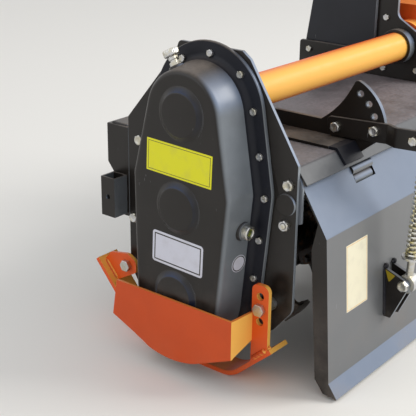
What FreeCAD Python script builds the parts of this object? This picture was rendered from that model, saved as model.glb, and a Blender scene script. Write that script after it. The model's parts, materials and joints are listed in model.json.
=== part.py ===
"""Three-point-hitch rotary tiller, 1.83 m class, with a gear-case drive on its left side.

Frame: X to the machine's right, Y forward to the tractor, Z up, millimetres.
The pieces are drawn about the rotor axis and moved at the end, so that the part's
origin lies on the floor under the middle of its bounding box.
"""
import FreeCAD
import Part
import math
import os

V = FreeCAD.Vector

# Whole machine
TILL_WIDTH = 1828.0      # between the two side plates
ROTOR_HEIGHT = 174.0     # rotor axis above the floor that the skids stand on
ROTOR_Y = 18.0           # rotor axis ahead of the part's origin
MIDDLE_X = 30.0          # machine's middle plane right of the origin, for the case on the left
SWING_R = 165.0          # tine tips about the rotor axis

# Side plates
PLATE_T = 8.0
PLATE_TOP = 510.0
PLATE_REAR = 230.0
PLATE_FRONT = 209.0
PLATE_BOTTOM = -112.0
DISC_Y = -206.0            # round lug between the rear bolts
DISC_Z = 226.0
DISC_R = 22.0
DISC_T = 5.0

# Side gear case: three shafts in line, the whole case leaning forward at its foot
SHAFT_PITCH = 195.0
CASE_LEAN = 2.27         # degrees
CASE_DEPTH = 90.0
CASE_TOP_R = 90.0
CASE_FOOT_R = 108.0
CASE_SHOULDER = 82.0     # centre of the shoulder round, off the centre line
CASE_SHOULDER_Z = 238.0
CASE_SHOULDER_R = 40.0
CASE_DRAFT = 10.0
BREATHER_DEPTH = 44.0    # breather behind the case's face, like the level plug below
BREATHER_BOSS_R = 14.0
LEVEL_DEPTH = 52.0
LEVEL_Y = -130.0
LEVEL_Z = 168.0
LEVEL_BOSS_R = 19.0
FLANGE_T = 8.0
FLANGE_GROW = 46.0
BOSS_R = 54.0
BOSS_H = 8.0
BOSS_BEVEL = 11.0

# Drive tube, support tube and gearbox
TUBE_R = 36.0
TUBE_WALL = 6.0
TUBE_FLANGE_R = 60.0
TUBE_FLANGE_T = 12.0
COLLAR_R = 44.0          # clamp collar round the tube, outside the mast's inner plate
COLLAR_L = 24.0
GEARBOX_HALF = 118.0     # half width over the side bosses
GEARBOX_BODY = 90.0      # half width of the body
GEARBOX_REAR = -92.0
GEARBOX_FRONT = 92.0
GEARBOX_BOTTOM = 316.0
GEARBOX_TOP = 486.0
SIDE_BOSS_R = 60.0
COVER_R = 64.0
COVER_T = 10.0
FOOT_T = 16.0
RIB_T = 10.0
NECK_R = 52.0
NECK_FRONT = 140.0
STUB_R = 17.45           # 1 3/8 inch PTO stub
STUB_FRONT = 236.0
SHIELD_R = 84.0
SHIELD_FRONT = 262.0
SHIELD_WALL = 4.0

# Hood
HOOD_T = 5.0
HOOD_TOP = 303.0
HOOD_REAR = 222.0
HOOD_LIP_Y = -247.0      # foot of the rear lip
HOOD_LIP_Z = 271.0
HOOD_FRONT_Z = 90.0
HOOD_SLOPE_Y = 110.0
HOOD_SLOPE_Z = 225.0

# Front beam
BEAM_DEPTH = 64.0
BEAM_BOTTOM = 204.0
BEAM_TOP = 301.0
BEAM_WALL = 6.0
BEAM_END_BOTTOM = 95.0
BEAM_END_FRONT = 255.0

# Stand socket
SOCKET_W = 40.0
SOCKET_REAR = 216.0
SOCKET_WALL = 4.0
SOCKET_BOTTOM = 102.0
SOCKET_TOP = 192.0
SOCKET_PIN_R = 6.0

# Skids
RUNNER_W = 60.0
RUNNER_T = 10.0
RUNNER_BEND_R = 60.0
RUNNER_TIP = (279.0, -13.4)
RUNNER_FRONT_BEND = 140.0
RUNNER_REAR_BEND = -112.0
RUNNER_TAIL = (-211.0, -84.0)
UPRIGHT_T = 10.0
UPRIGHT_W = 41.0
UPRIGHT_Y = -180.0
UPRIGHT_TOP = 60.0
UPRIGHT_CORNER = 14.0
UPRIGHT_GAP = 30.0
SKID_HOLE_R = 8.6
SKID_BOLT_R = 8.0
SKID_HOLE_PITCH = 28.0
SKID_BOLT_Z = 7.0
LUG_T = 8.0
LUG_GAP = 14.0
LUG_BOLT_Y = 200.0
LUG_BOLT_Z = -12.0
GUARD_T = 6.0
GUARD_CLEAR = 6.0
GUARD_TOP = -1.0
GUARD_REAR = -162.0
GUARD_FRONT = 148.0
GUARD_FOOT = (161.0, -85.0)
GUARD_RIB_Y = 96.0
GUARD_RIB_TOP = -86.0
GUARD_RIB_ROOT = -109.0
SEAT_GAP = 0.3

# Hitch
MAST_OUT = 162.0
MAST_T = 12.0
MAST_FOOT_T = 10.0
MAST_FOOT_TOP = 372.0
MAST_FOOT_REAR = 121.0
MAST_INNER_T = 10.0
MAST_REAR = 52.0
INNER_REAR = -4.0
HITCH_SPREAD = 683.0     # lower hitch points, category 1
LOWER_PIN_Y = 330.0
LOWER_PIN_Z = 250.0
LOWER_PIN_R = 11.0
LOWER_PIN_REACH = 60.0
LOWER_COLLAR_R = 19.0
LOWER_COLLAR_T = 8.0
HITCH_HEIGHT = 460.0     # top link pin above the lower pins
TOP_PIN_Y = 178.0
TOP_PIN_R = 9.8          # hole for the 19 mm top link pin
CLEVIS_GAP = 60.0
CLEVIS_T = 12.0

# Tailgate
GATE_T = 4.0
GATE_SIDE_GAP = 7.0
HINGE_Y = -236.0
HINGE_Z = 232.0
HINGE_ROD_R = 8.0
BARREL_R = 13.0
BARREL_L = 70.0
KNUCKLE_GAP = 6.0
KNUCKLE_L = 24.0
KNUCKLE_RISE = 6.0         # pressed strip above a hinge slot, off the gate
SLOT_W = 19.0
FIT = 0.05
GATE_TOP = (-233.0, 264.0)
GATE_BEND = (-292.0, 170.0)
GATE_FOOT = (-315.0, -138.0)
GATE_END = (-336.0, -167.0)
WING_W = 33.0
HINGE_FROM_SIDE = 213.0
HINGE_FROM_MIDDLE = 240.0

# Spring rods
ROD_FROM_SIDE = 250.0
ROD_R = 8.0
EYE_R = 20.0
EYE_Y = -351.0
EYE_Z = 10.0
SWIVEL_Y = -368.0
SWIVEL_Z = 342.0
SWIVEL_HOLE_R = 13.0
SWIVEL_PIN_R = 8.0
SWIVEL_W = 38.0
SWIVEL_D = 44.0
SWIVEL_H = 30.0
ROD_ABOVE = 86.0
WASHER_R = 22.0
WASHER_T = 5.0
STOP_R = 18.0
WASHER_FROM_EYE = 58.0
SPRING_R = 16.0
EAR_T = 8.0
EAR_GAP = 26.0
EAR_TOP = 131.0            # ears' ends down the gate, from its bend
EAR_FOOT = 244.0
SECTOR_T = 10.0
SECTOR_LEG_W = 70.0
SECTOR_LEG_T = 6.0
SECTOR_LEG_REAR = -205.0
ARM_FROM_SIDE = 208.0      # inner face of the arm, at its pivot
ARM_T = 8.0
ARM_W = 41.0
ARM_STEP = 17.0          # the arm steps outwards by this much, between these two places
ARM_STEP_FRONT = -300.0
ARM_STEP_REAR = -326.0
PIVOT_Y = -182.0
PIVOT_Z = 332.0
SECTOR_HOLE_R = 90.0
SECTOR_HOLES = (5.0, 22.5, 40.0, 57.5)     # degrees above level, about the pivot
SECTOR_R = 110.0
SECTOR_ENDS = (10.0, 65.0)
SECTOR_LIP_Y = -236.0      # rear end of the sector's foot, on the hood's lip

# Rotor
ROTOR_TUBE_R = 44.5
JOURNAL_R = 25.0
ROTOR_END_GAP = 40.0
FLANGE_END_GAP = 95.0
FLANGE_STATIONS = 8
FLANGE_TWIST = 22.5
FLANGE_R = 82.0
FLANGE_DISC_T = 8.0
TINES_PER_SIDE = 3
TINE_T = 8.0
TINE_FOOT = 58.0

SIDE_IN = TILL_WIDTH / 2
SIDE_OUT = SIDE_IN + PLATE_T
ROD_X = SIDE_IN - ROD_FROM_SIDE
ARM_X = SIDE_IN - ARM_FROM_SIDE
HINGE_PLACES = (HINGE_FROM_SIDE - SIDE_IN, -HINGE_FROM_MIDDLE, HINGE_FROM_MIDDLE, SIDE_IN - HINGE_FROM_SIDE)
CASE_FACE = SIDE_OUT + CASE_DEPTH
TUBE_Z = 2 * SHAFT_PITCH * math.cos(math.radians(CASE_LEAN))
TUBE_Y = -2 * SHAFT_PITCH * math.sin(math.radians(CASE_LEAN))
TOP_PIN_Z = LOWER_PIN_Z + HITCH_HEIGHT
BEAM_FRONT = PLATE_FRONT + BEAM_DEPTH


def rounded(points):
    """Closed wire in the YZ plane; each point is (y, z) or (y, z, corner radius)."""
    count = len(points)
    edges = []
    starts = []
    ends = []
    mids = []
    for i, point in enumerate(points):
        corner = V(0, point[0], point[1])
        before = points[i - 1]
        after = points[(i + 1) % count]
        to_before = (V(0, before[0], before[1]) - corner).normalize()
        to_after = (V(0, after[0], after[1]) - corner).normalize()
        radius = point[2] if len(point) > 2 else 0.0
        if radius:
            half_turn = (math.pi - to_before.getAngle(to_after)) / 2
            run = radius * math.tan(half_turn)
            inward = (to_before + to_after).normalize()
            starts.append(corner + to_before * run)
            ends.append(corner + to_after * run)
            mids.append(corner + inward * (radius / math.cos(half_turn) - radius))
        else:
            starts.append(corner)
            ends.append(corner)
            mids.append(None)
    for i in range(count):
        if mids[i] is not None:
            edges.append(Part.Arc(starts[i], mids[i], ends[i]).toShape())
        following = starts[(i + 1) % count]
        if ends[i].distanceToPoint(following) > 1e-6:
            edges.append(Part.LineSegment(ends[i], following).toShape())
    return Part.Wire(edges)


def plate(points, x_low, x_high, holes=()):
    """Flat plate normal to X, with holes given as (y, z, radius)."""
    solid = Part.Face(rounded(points)).extrude(V(x_high - x_low, 0, 0))
    solid.translate(V(x_low, 0, 0))
    for y, z, radius in holes:
        solid = solid.cut(bar_x(y, z, radius, x_low - 1, x_high + 1))
    return solid


def bar_x(y, z, radius, x_low, x_high):
    """Round bar along X."""
    return Part.makeCylinder(radius, x_high - x_low, V(x_low, y, z), V(1, 0, 0))


def bar_y(x, z, radius, y_low, y_high):
    """Round bar along Y."""
    return Part.makeCylinder(radius, y_high - y_low, V(x, y_low, z), V(0, 1, 0))


def block(x_low, x_high, y_low, y_high, z_low, z_high):
    """Rectangular block between two corners."""
    return Part.makeBox(x_high - x_low, y_high - y_low, z_high - z_low, V(x_low, y_low, z_low))


def bent_strip(points, thickness, bend, x_low, x_high):
    """Sheet or flat bar bent along YZ points, its thickness laid to the left of the path."""
    path = [V(0, y, z) for y, z in points]
    turn_left = V(1, 0, 0)
    sides = []
    for a, b in zip(path, path[1:]):
        sides.append(turn_left.cross((b - a).normalize()))
    near = []
    far = []
    for i, point in enumerate(path):
        if i == 0 or i == len(path) - 1:
            offset = sides[0 if i == 0 else -1] * thickness
            near.append((point.y, point.z))
            far.append((point.y + offset.y, point.z + offset.z))
            continue
        middle = sides[i - 1] + sides[i]
        offset = middle * (2 * thickness / middle.dot(middle))
        left_turn = sides[i - 1].cross(sides[i]).x > 0
        near.append((point.y, point.z, bend + thickness if left_turn else bend))
        far.append((point.y + offset.y, point.z + offset.z, bend if left_turn else bend + thickness))
    return plate(near + far[::-1], x_low, x_high)


def belt(circles, grow, x):
    """Wire round a ring of circles (y, z, radius), like a belt; grow widens every circle."""
    count = len(circles)
    arcs = []
    for i, (y, z, radius) in enumerate(circles):
        centre = V(x, y, z)
        size = radius + grow
        normals = []
        for a, b in ((circles[i - 1], circles[i]), (circles[i], circles[(i + 1) % count])):
            run = V(0, b[0] - a[0], b[1] - a[1])
            lean = math.asin((a[2] - b[2]) / run.Length)
            heading = math.atan2(run.z, run.y) - math.pi / 2 + lean
            normals.append(V(0, math.cos(heading), math.sin(heading)))
        middle = (normals[0] + normals[1]).normalize()
        arcs.append([centre + n * size for n in (normals[0], middle, normals[1])])
    edges = []
    for i, (start, middle, end) in enumerate(arcs):
        edges.append(Part.Arc(start, middle, end).toShape())
        edges.append(Part.LineSegment(end, arcs[(i + 1) % count][0]).toShape())
    return Part.Wire(edges)


def leaned(shape):
    """Turn a shape drawn on the upright case about the rotor axis, to the case's real lean."""
    shape.rotate(V(0, 0, 0), V(1, 0, 0), CASE_LEAN)
    return shape


def right_hand(shape):
    """Mirror image of a left-hand shape."""
    return shape.mirror(V(0, 0, 0), V(1, 0, 0))


def breather_seat():
    """Seat and direction of the breather on the case's forward top."""
    direction = V(0, math.sin(math.radians(32)), math.cos(math.radians(32)))
    return V(-CASE_FACE + BREATHER_DEPTH, 0, 2 * SHAFT_PITCH - 5) + direction * (CASE_TOP_R + 10), direction


def level_seat():
    """Seat and direction of the level plug on the case's rear wall."""
    return V(-CASE_FACE + LEVEL_DEPTH, LEVEL_Y, LEVEL_Z), V(0, -1, 0)


def case_cover():
    """Cast cover: drafted body on a bolted flange, rounded edge and three bearing bosses."""
    circles = [
        (0, 2 * SHAFT_PITCH - 5, CASE_TOP_R),
        (-CASE_SHOULDER, CASE_SHOULDER_Z, CASE_SHOULDER_R),
        (0, 0, CASE_FOOT_R),
        (CASE_SHOULDER, CASE_SHOULDER_Z, CASE_SHOULDER_R),
    ]
    flange = Part.Face(belt(circles, FLANGE_GROW, -SIDE_OUT)).extrude(V(-FLANGE_T, 0, 0))
    root = -SIDE_OUT - FLANGE_T
    steps = [(root, CASE_DRAFT), (-CASE_FACE + 12, 2), (-CASE_FACE + 4, -2), (-CASE_FACE, -10)]
    cover = flange
    for (x_a, grow_a), (x_b, grow_b) in zip(steps, steps[1:]):
        section = Part.makeLoft([belt(circles, grow_a, x_a), belt(circles, grow_b, x_b)], True, True)
        cover = cover.fuse(section)
    for i in range(3):
        seat = V(-CASE_FACE, 0, i * SHAFT_PITCH)
        cover = cover.fuse(Part.makeCone(BOSS_R, BOSS_R - BOSS_BEVEL, BOSS_H, seat, V(-1, 0, 0)))
    base, direction = breather_seat()
    cover = cover.fuse(Part.makeCylinder(BREATHER_BOSS_R, 30, base - direction * 30, direction))
    base, direction = level_seat()
    cover = cover.fuse(Part.makeCylinder(LEVEL_BOSS_R, 30, base - direction * 30, direction))
    return leaned(cover.removeSplitter())


def side_plate():
    """Left side plate, with the hole for the rotor's journal and a round lug at the rear."""
    outline = [
        (66, PLATE_TOP, 10), (-92, PLATE_TOP), (-111, 496), (-PLATE_REAR, 308, 6), (-PLATE_REAR, 0, 30),
        (-187, -52), (-110, PLATE_BOTTOM, 20), (110, PLATE_BOTTOM, 20), (185, -60, 10),
        (PLATE_FRONT, -20), (PLATE_FRONT, 327), (75, 487, 10),
    ]
    lug = bar_x(DISC_Y, DISC_Z, DISC_R, -SIDE_OUT - DISC_T, -SIDE_OUT)
    return plate(outline, -SIDE_OUT, -SIDE_IN, [(0, 0, JOURNAL_R + 8)]).fuse(lug)


def hood():
    """Folded hood sheet from the rear lip over the rotor to the front lip."""
    path = [
        (HOOD_LIP_Y, HOOD_LIP_Z), (-HOOD_REAR, HOOD_TOP), (HOOD_SLOPE_Y, HOOD_TOP),
        (PLATE_FRONT, HOOD_SLOPE_Z), (PLATE_FRONT, HOOD_FRONT_Z),
    ]
    inside = [(y, z) for y, z in path[::-1]]
    return bent_strip(inside, HOOD_T, 4.0, -SIDE_IN, SIDE_IN)


def front_beam():
    """Rectangular beam with its end plates and the mast's foot plates."""
    outer = block(-SIDE_IN, SIDE_IN, PLATE_FRONT, BEAM_FRONT, BEAM_BOTTOM, BEAM_TOP)
    inner = block(-SIDE_IN, SIDE_IN, PLATE_FRONT + BEAM_WALL, BEAM_FRONT - BEAM_WALL,
                  BEAM_BOTTOM + BEAM_WALL, BEAM_TOP - BEAM_WALL)
    end = [
        (PLATE_FRONT, BEAM_TOP), (BEAM_FRONT, BEAM_TOP), (BEAM_FRONT, BEAM_BOTTOM + 8),
        (BEAM_END_FRONT, BEAM_BOTTOM - 14), (BEAM_END_FRONT - 5, BEAM_END_BOTTOM, 8),
        (PLATE_FRONT, BEAM_END_BOTTOM),
    ]
    left_end = plate(end, -SIDE_OUT, -SIDE_IN)
    foot = [
        (BEAM_FRONT, BEAM_TOP), (BEAM_FRONT, MAST_FOOT_TOP, 8), (MAST_FOOT_REAR, MAST_FOOT_TOP, 8),
        (MAST_FOOT_REAR, BEAM_TOP + 2), (PLATE_FRONT, BEAM_TOP),
    ]
    left_foot = plate(foot, -MAST_OUT - MAST_FOOT_T, -MAST_OUT)
    ends = [left_end, right_hand(left_end), left_foot, right_hand(left_foot)]
    return outer.cut(inner).fuse(ends)


def stand_socket():
    """Square tube, open at both ends, with a cross hole for the stand's pin."""
    x_low = -SIDE_OUT - SOCKET_W
    y_low = SOCKET_REAR
    outer = block(x_low, -SIDE_OUT, y_low, y_low + SOCKET_W, SOCKET_BOTTOM, SOCKET_TOP)
    inner = block(x_low + SOCKET_WALL, -SIDE_OUT - SOCKET_WALL, y_low + SOCKET_WALL,
                  y_low + SOCKET_W - SOCKET_WALL, SOCKET_BOTTOM, SOCKET_TOP)
    middle_z = (SOCKET_BOTTOM + SOCKET_TOP) / 2
    hole = bar_x(y_low + SOCKET_W / 2, middle_z, SOCKET_PIN_R, x_low - 1, x_low + SOCKET_WALL + 1)
    return outer.cut(inner).cut(hole)


def runner_path():
    """Underside of the runner from its front tip to its rear tip."""
    floor = -ROTOR_HEIGHT
    return [RUNNER_TIP, (RUNNER_FRONT_BEND, floor), (RUNNER_REAR_BEND, floor), RUNNER_TAIL]


def skid():
    """Left skid: bent runner, drilled upright and front lug, welded into one piece."""
    x_out = -SIDE_OUT - UPRIGHT_GAP - UPRIGHT_T
    path = runner_path()
    runner = bent_strip(path[::-1], RUNNER_T, RUNNER_BEND_R, x_out, x_out + RUNNER_W)
    half = UPRIGHT_W / 2
    rise = (RUNNER_TAIL[1] + ROTOR_HEIGHT) / (RUNNER_REAR_BEND - RUNNER_TAIL[0])
    top_of_runner = RUNNER_T * math.hypot(1, rise)
    foot_front = -ROTOR_HEIGHT + (RUNNER_REAR_BEND - (UPRIGHT_Y + half)) * rise + top_of_runner
    foot_rear = -ROTOR_HEIGHT + (RUNNER_REAR_BEND - (UPRIGHT_Y - half)) * rise + top_of_runner
    upright_outline = [
        (UPRIGHT_Y + half, foot_front - 2), (UPRIGHT_Y + half, UPRIGHT_TOP, UPRIGHT_CORNER),
        (UPRIGHT_Y - half, UPRIGHT_TOP, UPRIGHT_CORNER), (UPRIGHT_Y - half, foot_rear - 2),
    ]
    holes = [(UPRIGHT_Y, SKID_BOLT_Z + i * SKID_HOLE_PITCH, SKID_HOLE_R) for i in (-1, 0, 1)]
    upright = plate(upright_outline, x_out, x_out + UPRIGHT_T, holes)
    lug_x = -SIDE_OUT - LUG_GAP - LUG_T
    lug_outline = [
        (270, -18), (250, 6), (196, 16, 20), (172, 2, 16), (173, -24, 10), (236, -60),
    ]
    lug = plate(lug_outline, lug_x, lug_x + LUG_T, [(LUG_BOLT_Y, LUG_BOLT_Z, SKID_HOLE_R)])
    return runner.fuse([upright, lug])


def skid_guard():
    """Guard plate outside the gear case's foot: folded round behind, with a rib on the runner in front."""
    x_out = -CASE_FACE - BOSS_H - GUARD_CLEAR - GUARD_T
    face_outline = [
        (GUARD_FRONT, GUARD_TOP), GUARD_FOOT, (98, -111), (54, -132, 60), (-2, -143, 200),
        (-60, -131, 120), (GUARD_REAR, -86), (GUARD_REAR, GUARD_TOP),
    ]
    face = plate(face_outline, x_out, x_out + GUARD_T)
    upright_x = -SIDE_OUT - UPRIGHT_GAP - UPRIGHT_T
    folded = [V(x, GUARD_REAR, z) for x, z in (
        (x_out, GUARD_TOP), (x_out, -86), (upright_x, -68), (upright_x, GUARD_TOP - 4))]
    rear = Part.Face(Part.makePolygon(folded + folded[:1])).extrude(V(0, GUARD_T, 0))
    rib_bottom = -ROTOR_HEIGHT + RUNNER_T + SEAT_GAP
    rib_outline = [V(x, GUARD_RIB_Y, z) for x, z in (
        (x_out, GUARD_RIB_TOP), (x_out, GUARD_RIB_ROOT), (upright_x, rib_bottom),
        (upright_x + 20, rib_bottom), (upright_x + 20, GUARD_RIB_TOP))]
    rib = Part.Face(Part.makePolygon(rib_outline + rib_outline[:1])).extrude(V(0, -GUARD_T, 0))
    return face.fuse([rear, rib])


def skid_bolts():
    """Front and rear bolts of the left skid, each with its spacer."""
    upright_out = -SIDE_OUT - UPRIGHT_GAP - UPRIGHT_T
    lug_out = -SIDE_OUT - LUG_GAP - LUG_T
    solids = []
    for y, z, x_out, thick in ((UPRIGHT_Y, SKID_BOLT_Z, upright_out, UPRIGHT_T),
                               (LUG_BOLT_Y, LUG_BOLT_Z, lug_out, LUG_T)):
        head = hexagon_x(y, z, 12.0, x_out - 10, x_out)
        shank = bar_x(y, z, SKID_BOLT_R, x_out, -SIDE_OUT)
        spacer = bar_x(y, z, 14.0, x_out + thick, -SIDE_OUT)
        solids.append(head.fuse([shank, spacer]))
    return Part.makeCompound(solids)


def hexagon_x(y, z, half_flats, x_low, x_high):
    """Hexagonal prism along X."""
    corner = half_flats / math.cos(math.pi / 6)
    points = []
    for i in range(6):
        angle = i * math.pi / 3
        points.append((y + corner * math.cos(angle), z + corner * math.sin(angle)))
    return plate(points, x_low, x_high)


def drive_tube():
    """Left tube from the side plate to the gearbox, with the flange that bolts to it."""
    x_in = -GEARBOX_HALF
    outer = bar_x(TUBE_Y, TUBE_Z, TUBE_R, -SIDE_IN, x_in)
    flange = bar_x(TUBE_Y, TUBE_Z, TUBE_FLANGE_R, x_in - TUBE_FLANGE_T, x_in)
    inner = bar_x(TUBE_Y, TUBE_Z, TUBE_R - TUBE_WALL, -SIDE_IN, x_in)
    return outer.fuse(flange).cut(inner)


def tube_flange():
    """Left clamp collar that holds the tube to the mast's inner plate."""
    x_in = -MAST_OUT + MAST_T
    outer = bar_x(TUBE_Y, TUBE_Z, COLLAR_R, x_in - COLLAR_L, x_in)
    return outer.cut(bar_x(TUBE_Y, TUBE_Z, TUBE_R + FIT, x_in - COLLAR_L - 1, x_in + 1))


def gearbox():
    """Bevel gearbox casting: body, side bosses, neck, rear cover, ribs, filler boss and foot."""
    half = GEARBOX_HALF
    body = plate([
        (GEARBOX_REAR, GEARBOX_BOTTOM, 14), (GEARBOX_REAR, GEARBOX_TOP - 30, 30), (-50, GEARBOX_TOP, 20),
        (50, GEARBOX_TOP, 20), (GEARBOX_FRONT, GEARBOX_TOP - 36, 24), (GEARBOX_FRONT, GEARBOX_BOTTOM, 14),
    ], -GEARBOX_BODY, GEARBOX_BODY)
    pieces = [
        bar_x(TUBE_Y, TUBE_Z, SIDE_BOSS_R, -half, half),
        bar_y(0, TUBE_Z, NECK_R, 0, NECK_FRONT),
        bar_y(0, TUBE_Z, COVER_R, GEARBOX_FRONT, GEARBOX_FRONT + COVER_T),
        Part.makeCone(COVER_R - 6, COVER_R, COVER_T, V(0, GEARBOX_REAR - COVER_T, TUBE_Z), V(0, 1, 0)),
        Part.makeCylinder(16, 12, V(38, -24, GEARBOX_TOP - 2)),
        block(-half, half, GEARBOX_REAR, GEARBOX_FRONT, GEARBOX_BOTTOM, GEARBOX_BOTTOM + FOOT_T),
    ]
    for y in (-64, 64):
        rib = plate([
            (y - RIB_T / 2, GEARBOX_BOTTOM + FOOT_T), (y + RIB_T / 2, GEARBOX_BOTTOM + FOOT_T),
            (y + RIB_T / 2, TUBE_Z + 30), (y - RIB_T / 2, TUBE_Z + 30),
        ], -GEARBOX_BODY - 16, GEARBOX_BODY + 16)
        pieces.append(rib)
    bore = bar_y(0, TUBE_Z, STUB_R + 2 + FIT, GEARBOX_FRONT - 12, NECK_FRONT + 1)
    return body.fuse(pieces).cut(bore)


def gearbox_mount():
    """Pedestal plate that carries the gearbox on the hood, between the mast's inner plates."""
    half = MAST_OUT - MAST_T - MAST_INNER_T - 4
    return block(-half, half, GEARBOX_REAR - 12, GEARBOX_FRONT + 12, HOOD_TOP, GEARBOX_BOTTOM)


def pto_shield():
    """Open-mouthed plastic shield round the input shaft."""
    back = NECK_FRONT - 34
    outer = Part.makeCone(NECK_R + 8, SHIELD_R, SHIELD_FRONT - back, V(0, back, TUBE_Z), V(0, 1, 0))
    inner = Part.makeCone(NECK_R + 8 - SHIELD_WALL, SHIELD_R - SHIELD_WALL, SHIELD_FRONT - back,
                          V(0, back, TUBE_Z), V(0, 1, 0))
    ring = bar_y(0, TUBE_Z, NECK_R + 6, back, back + 10).cut(bar_y(0, TUBE_Z, NECK_R, back, back + 10))
    return outer.cut(inner).fuse(ring)


def pto_shaft():
    """Splined input shaft, turning in the gearbox neck."""
    back = GEARBOX_FRONT - 10
    collar = bar_y(0, TUBE_Z, STUB_R + 2, back, NECK_FRONT + 6)
    stub = bar_y(0, TUBE_Z, STUB_R, NECK_FRONT, STUB_FRONT)
    return collar.fuse(stub)


def mast_plate():
    """Left mast plate, from the front beam to the top link pin."""
    outline = [
        (BEAM_FRONT - 11, BEAM_TOP), (BEAM_FRONT - 13, MAST_FOOT_TOP), (206, TOP_PIN_Z + 20, 24),
        (144, TOP_PIN_Z + 28, 24), (MAST_REAR, 520, 30), (MAST_REAR, HOOD_TOP + 101), (100, BEAM_TOP + 30),
        (MAST_FOOT_REAR, HOOD_TOP), (PLATE_FRONT, BEAM_TOP),
    ]
    return plate(outline, -MAST_OUT, -MAST_OUT + MAST_T, [(TOP_PIN_Y, TOP_PIN_Z, TOP_PIN_R)])


def mast_spacer():
    """Tube bolted across the mast below the top link hole."""
    y = TOP_PIN_Y - 18
    z = TOP_PIN_Z - 120
    inner_x = MAST_OUT - MAST_T
    outer = bar_x(y, z, 15, -inner_x, inner_x)
    return outer.cut(bar_x(y, z, 10, -inner_x, inner_x))


def mast_brace():
    """Left inner plate: it stands on the hood beside the gearbox, carries the tube and stiffens the mast."""
    outline = [
        (GEARBOX_REAR - 12, HOOD_TOP), (GEARBOX_REAR, 352, 20), (-76, 420, 24), (INNER_REAR, 462, 24),
        (INNER_REAR, 560, 40), (96, 664, 14), (140, 652, 14), (90, HOOD_TOP),
    ]
    inner_x = -MAST_OUT + MAST_T
    return plate(outline, inner_x, inner_x + MAST_INNER_T, [(TUBE_Y, TUBE_Z, TUBE_R + FIT)])


def hitch_bracket():
    """Left lower hitch clevis: two plates on the front beam."""
    centre = -HITCH_SPREAD / 2
    solids = []
    for sign in (-1, 1):
        a = centre + sign * CLEVIS_GAP / 2
        b = a + sign * CLEVIS_T
        outline = [
            (BEAM_FRONT, BEAM_BOTTOM), (BEAM_FRONT, BEAM_TOP), (LOWER_PIN_Y + 10, LOWER_PIN_Z + 40, 20),
            (LOWER_PIN_Y + 34, LOWER_PIN_Z, 26), (LOWER_PIN_Y + 6, LOWER_PIN_Z - 38, 20),
        ]
        solids.append(plate(outline, min(a, b), max(a, b), [(LOWER_PIN_Y, LOWER_PIN_Z, LOWER_PIN_R + 0.3)]))
    return Part.makeCompound(solids)


def hitch_pin():
    """Left lower hitch pin with a collar and a shoulder, pointing outwards."""
    centre = -HITCH_SPREAD / 2
    inner = centre + CLEVIS_GAP / 2 + CLEVIS_T
    outer = centre - CLEVIS_GAP / 2 - CLEVIS_T
    free_end = outer - LOWER_COLLAR_T - LOWER_PIN_REACH
    pin = bar_x(LOWER_PIN_Y, LOWER_PIN_Z, LOWER_PIN_R, free_end, inner + LOWER_COLLAR_T)
    inner_collar = bar_x(LOWER_PIN_Y, LOWER_PIN_Z, LOWER_COLLAR_R, inner, inner + LOWER_COLLAR_T)
    shoulder = bar_x(LOWER_PIN_Y, LOWER_PIN_Z, LOWER_COLLAR_R, outer - LOWER_COLLAR_T, outer)
    return pin.fuse([inner_collar, shoulder])


def hinge_brackets():
    """Barrels on angled arms that hold the tailgate's hinge rod under the hood."""
    solids = []
    for x in HINGE_PLACES:
        barrel = bar_x(HINGE_Y, HINGE_Z, BARREL_R, x - BARREL_L / 2, x + BARREL_L / 2)
        arm = plate([
            (HINGE_Y, HINGE_Z - 10), (HINGE_Y + 62, HINGE_Z - 10, 10), (HINGE_Y + 62, HOOD_TOP - HOOD_T),
            (HINGE_Y + 42, HOOD_TOP - HOOD_T), (HINGE_Y + 42, HINGE_Z + 6, 6), (HINGE_Y, HINGE_Z + 6),
        ], x - 5, x + 5)
        bore = bar_x(HINGE_Y, HINGE_Z, HINGE_ROD_R, x - BARREL_L / 2 - 1, x + BARREL_L / 2 + 1)
        solids.append(barrel.fuse(arm).cut(bore))
    return Part.makeCompound(solids)


def hinge_rod():
    """Hinge rod through all the barrels."""
    reach = SIDE_IN - HINGE_FROM_SIDE + BARREL_L / 2 + KNUCKLE_GAP + KNUCKLE_L + 8
    return bar_x(HINGE_Y, HINGE_Z, HINGE_ROD_R, -reach, reach)


def pressed_knuckle(x, down, inward):
    """Half-round pressing of the gate's top strip, between its upper edge and a hinge slot."""
    hinge_run = (V(0, HINGE_Y, HINGE_Z) - V(0, *GATE_TOP)).dot(down)
    half = (hinge_run - SLOT_W / 2) / 2
    radius = (half ** 2 + KNUCKLE_RISE ** 2) / (2 * KNUCKLE_RISE)
    centre = V(0, *GATE_TOP) + down * half + inward * (radius - KNUCKLE_RISE)
    low, high = x - BARREL_L / 2 - 4, x + BARREL_L / 2 + 4
    base = V(0, *GATE_TOP) + inward * 1.0
    corners = [base, base + down * 2 * half, base + down * 2 * half - inward * 20, base - inward * 20]
    outside = plate([(corner.y, corner.z) for corner in corners], low, high)
    return bar_x(centre.y, centre.z, radius, low, high).common(outside)


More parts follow.
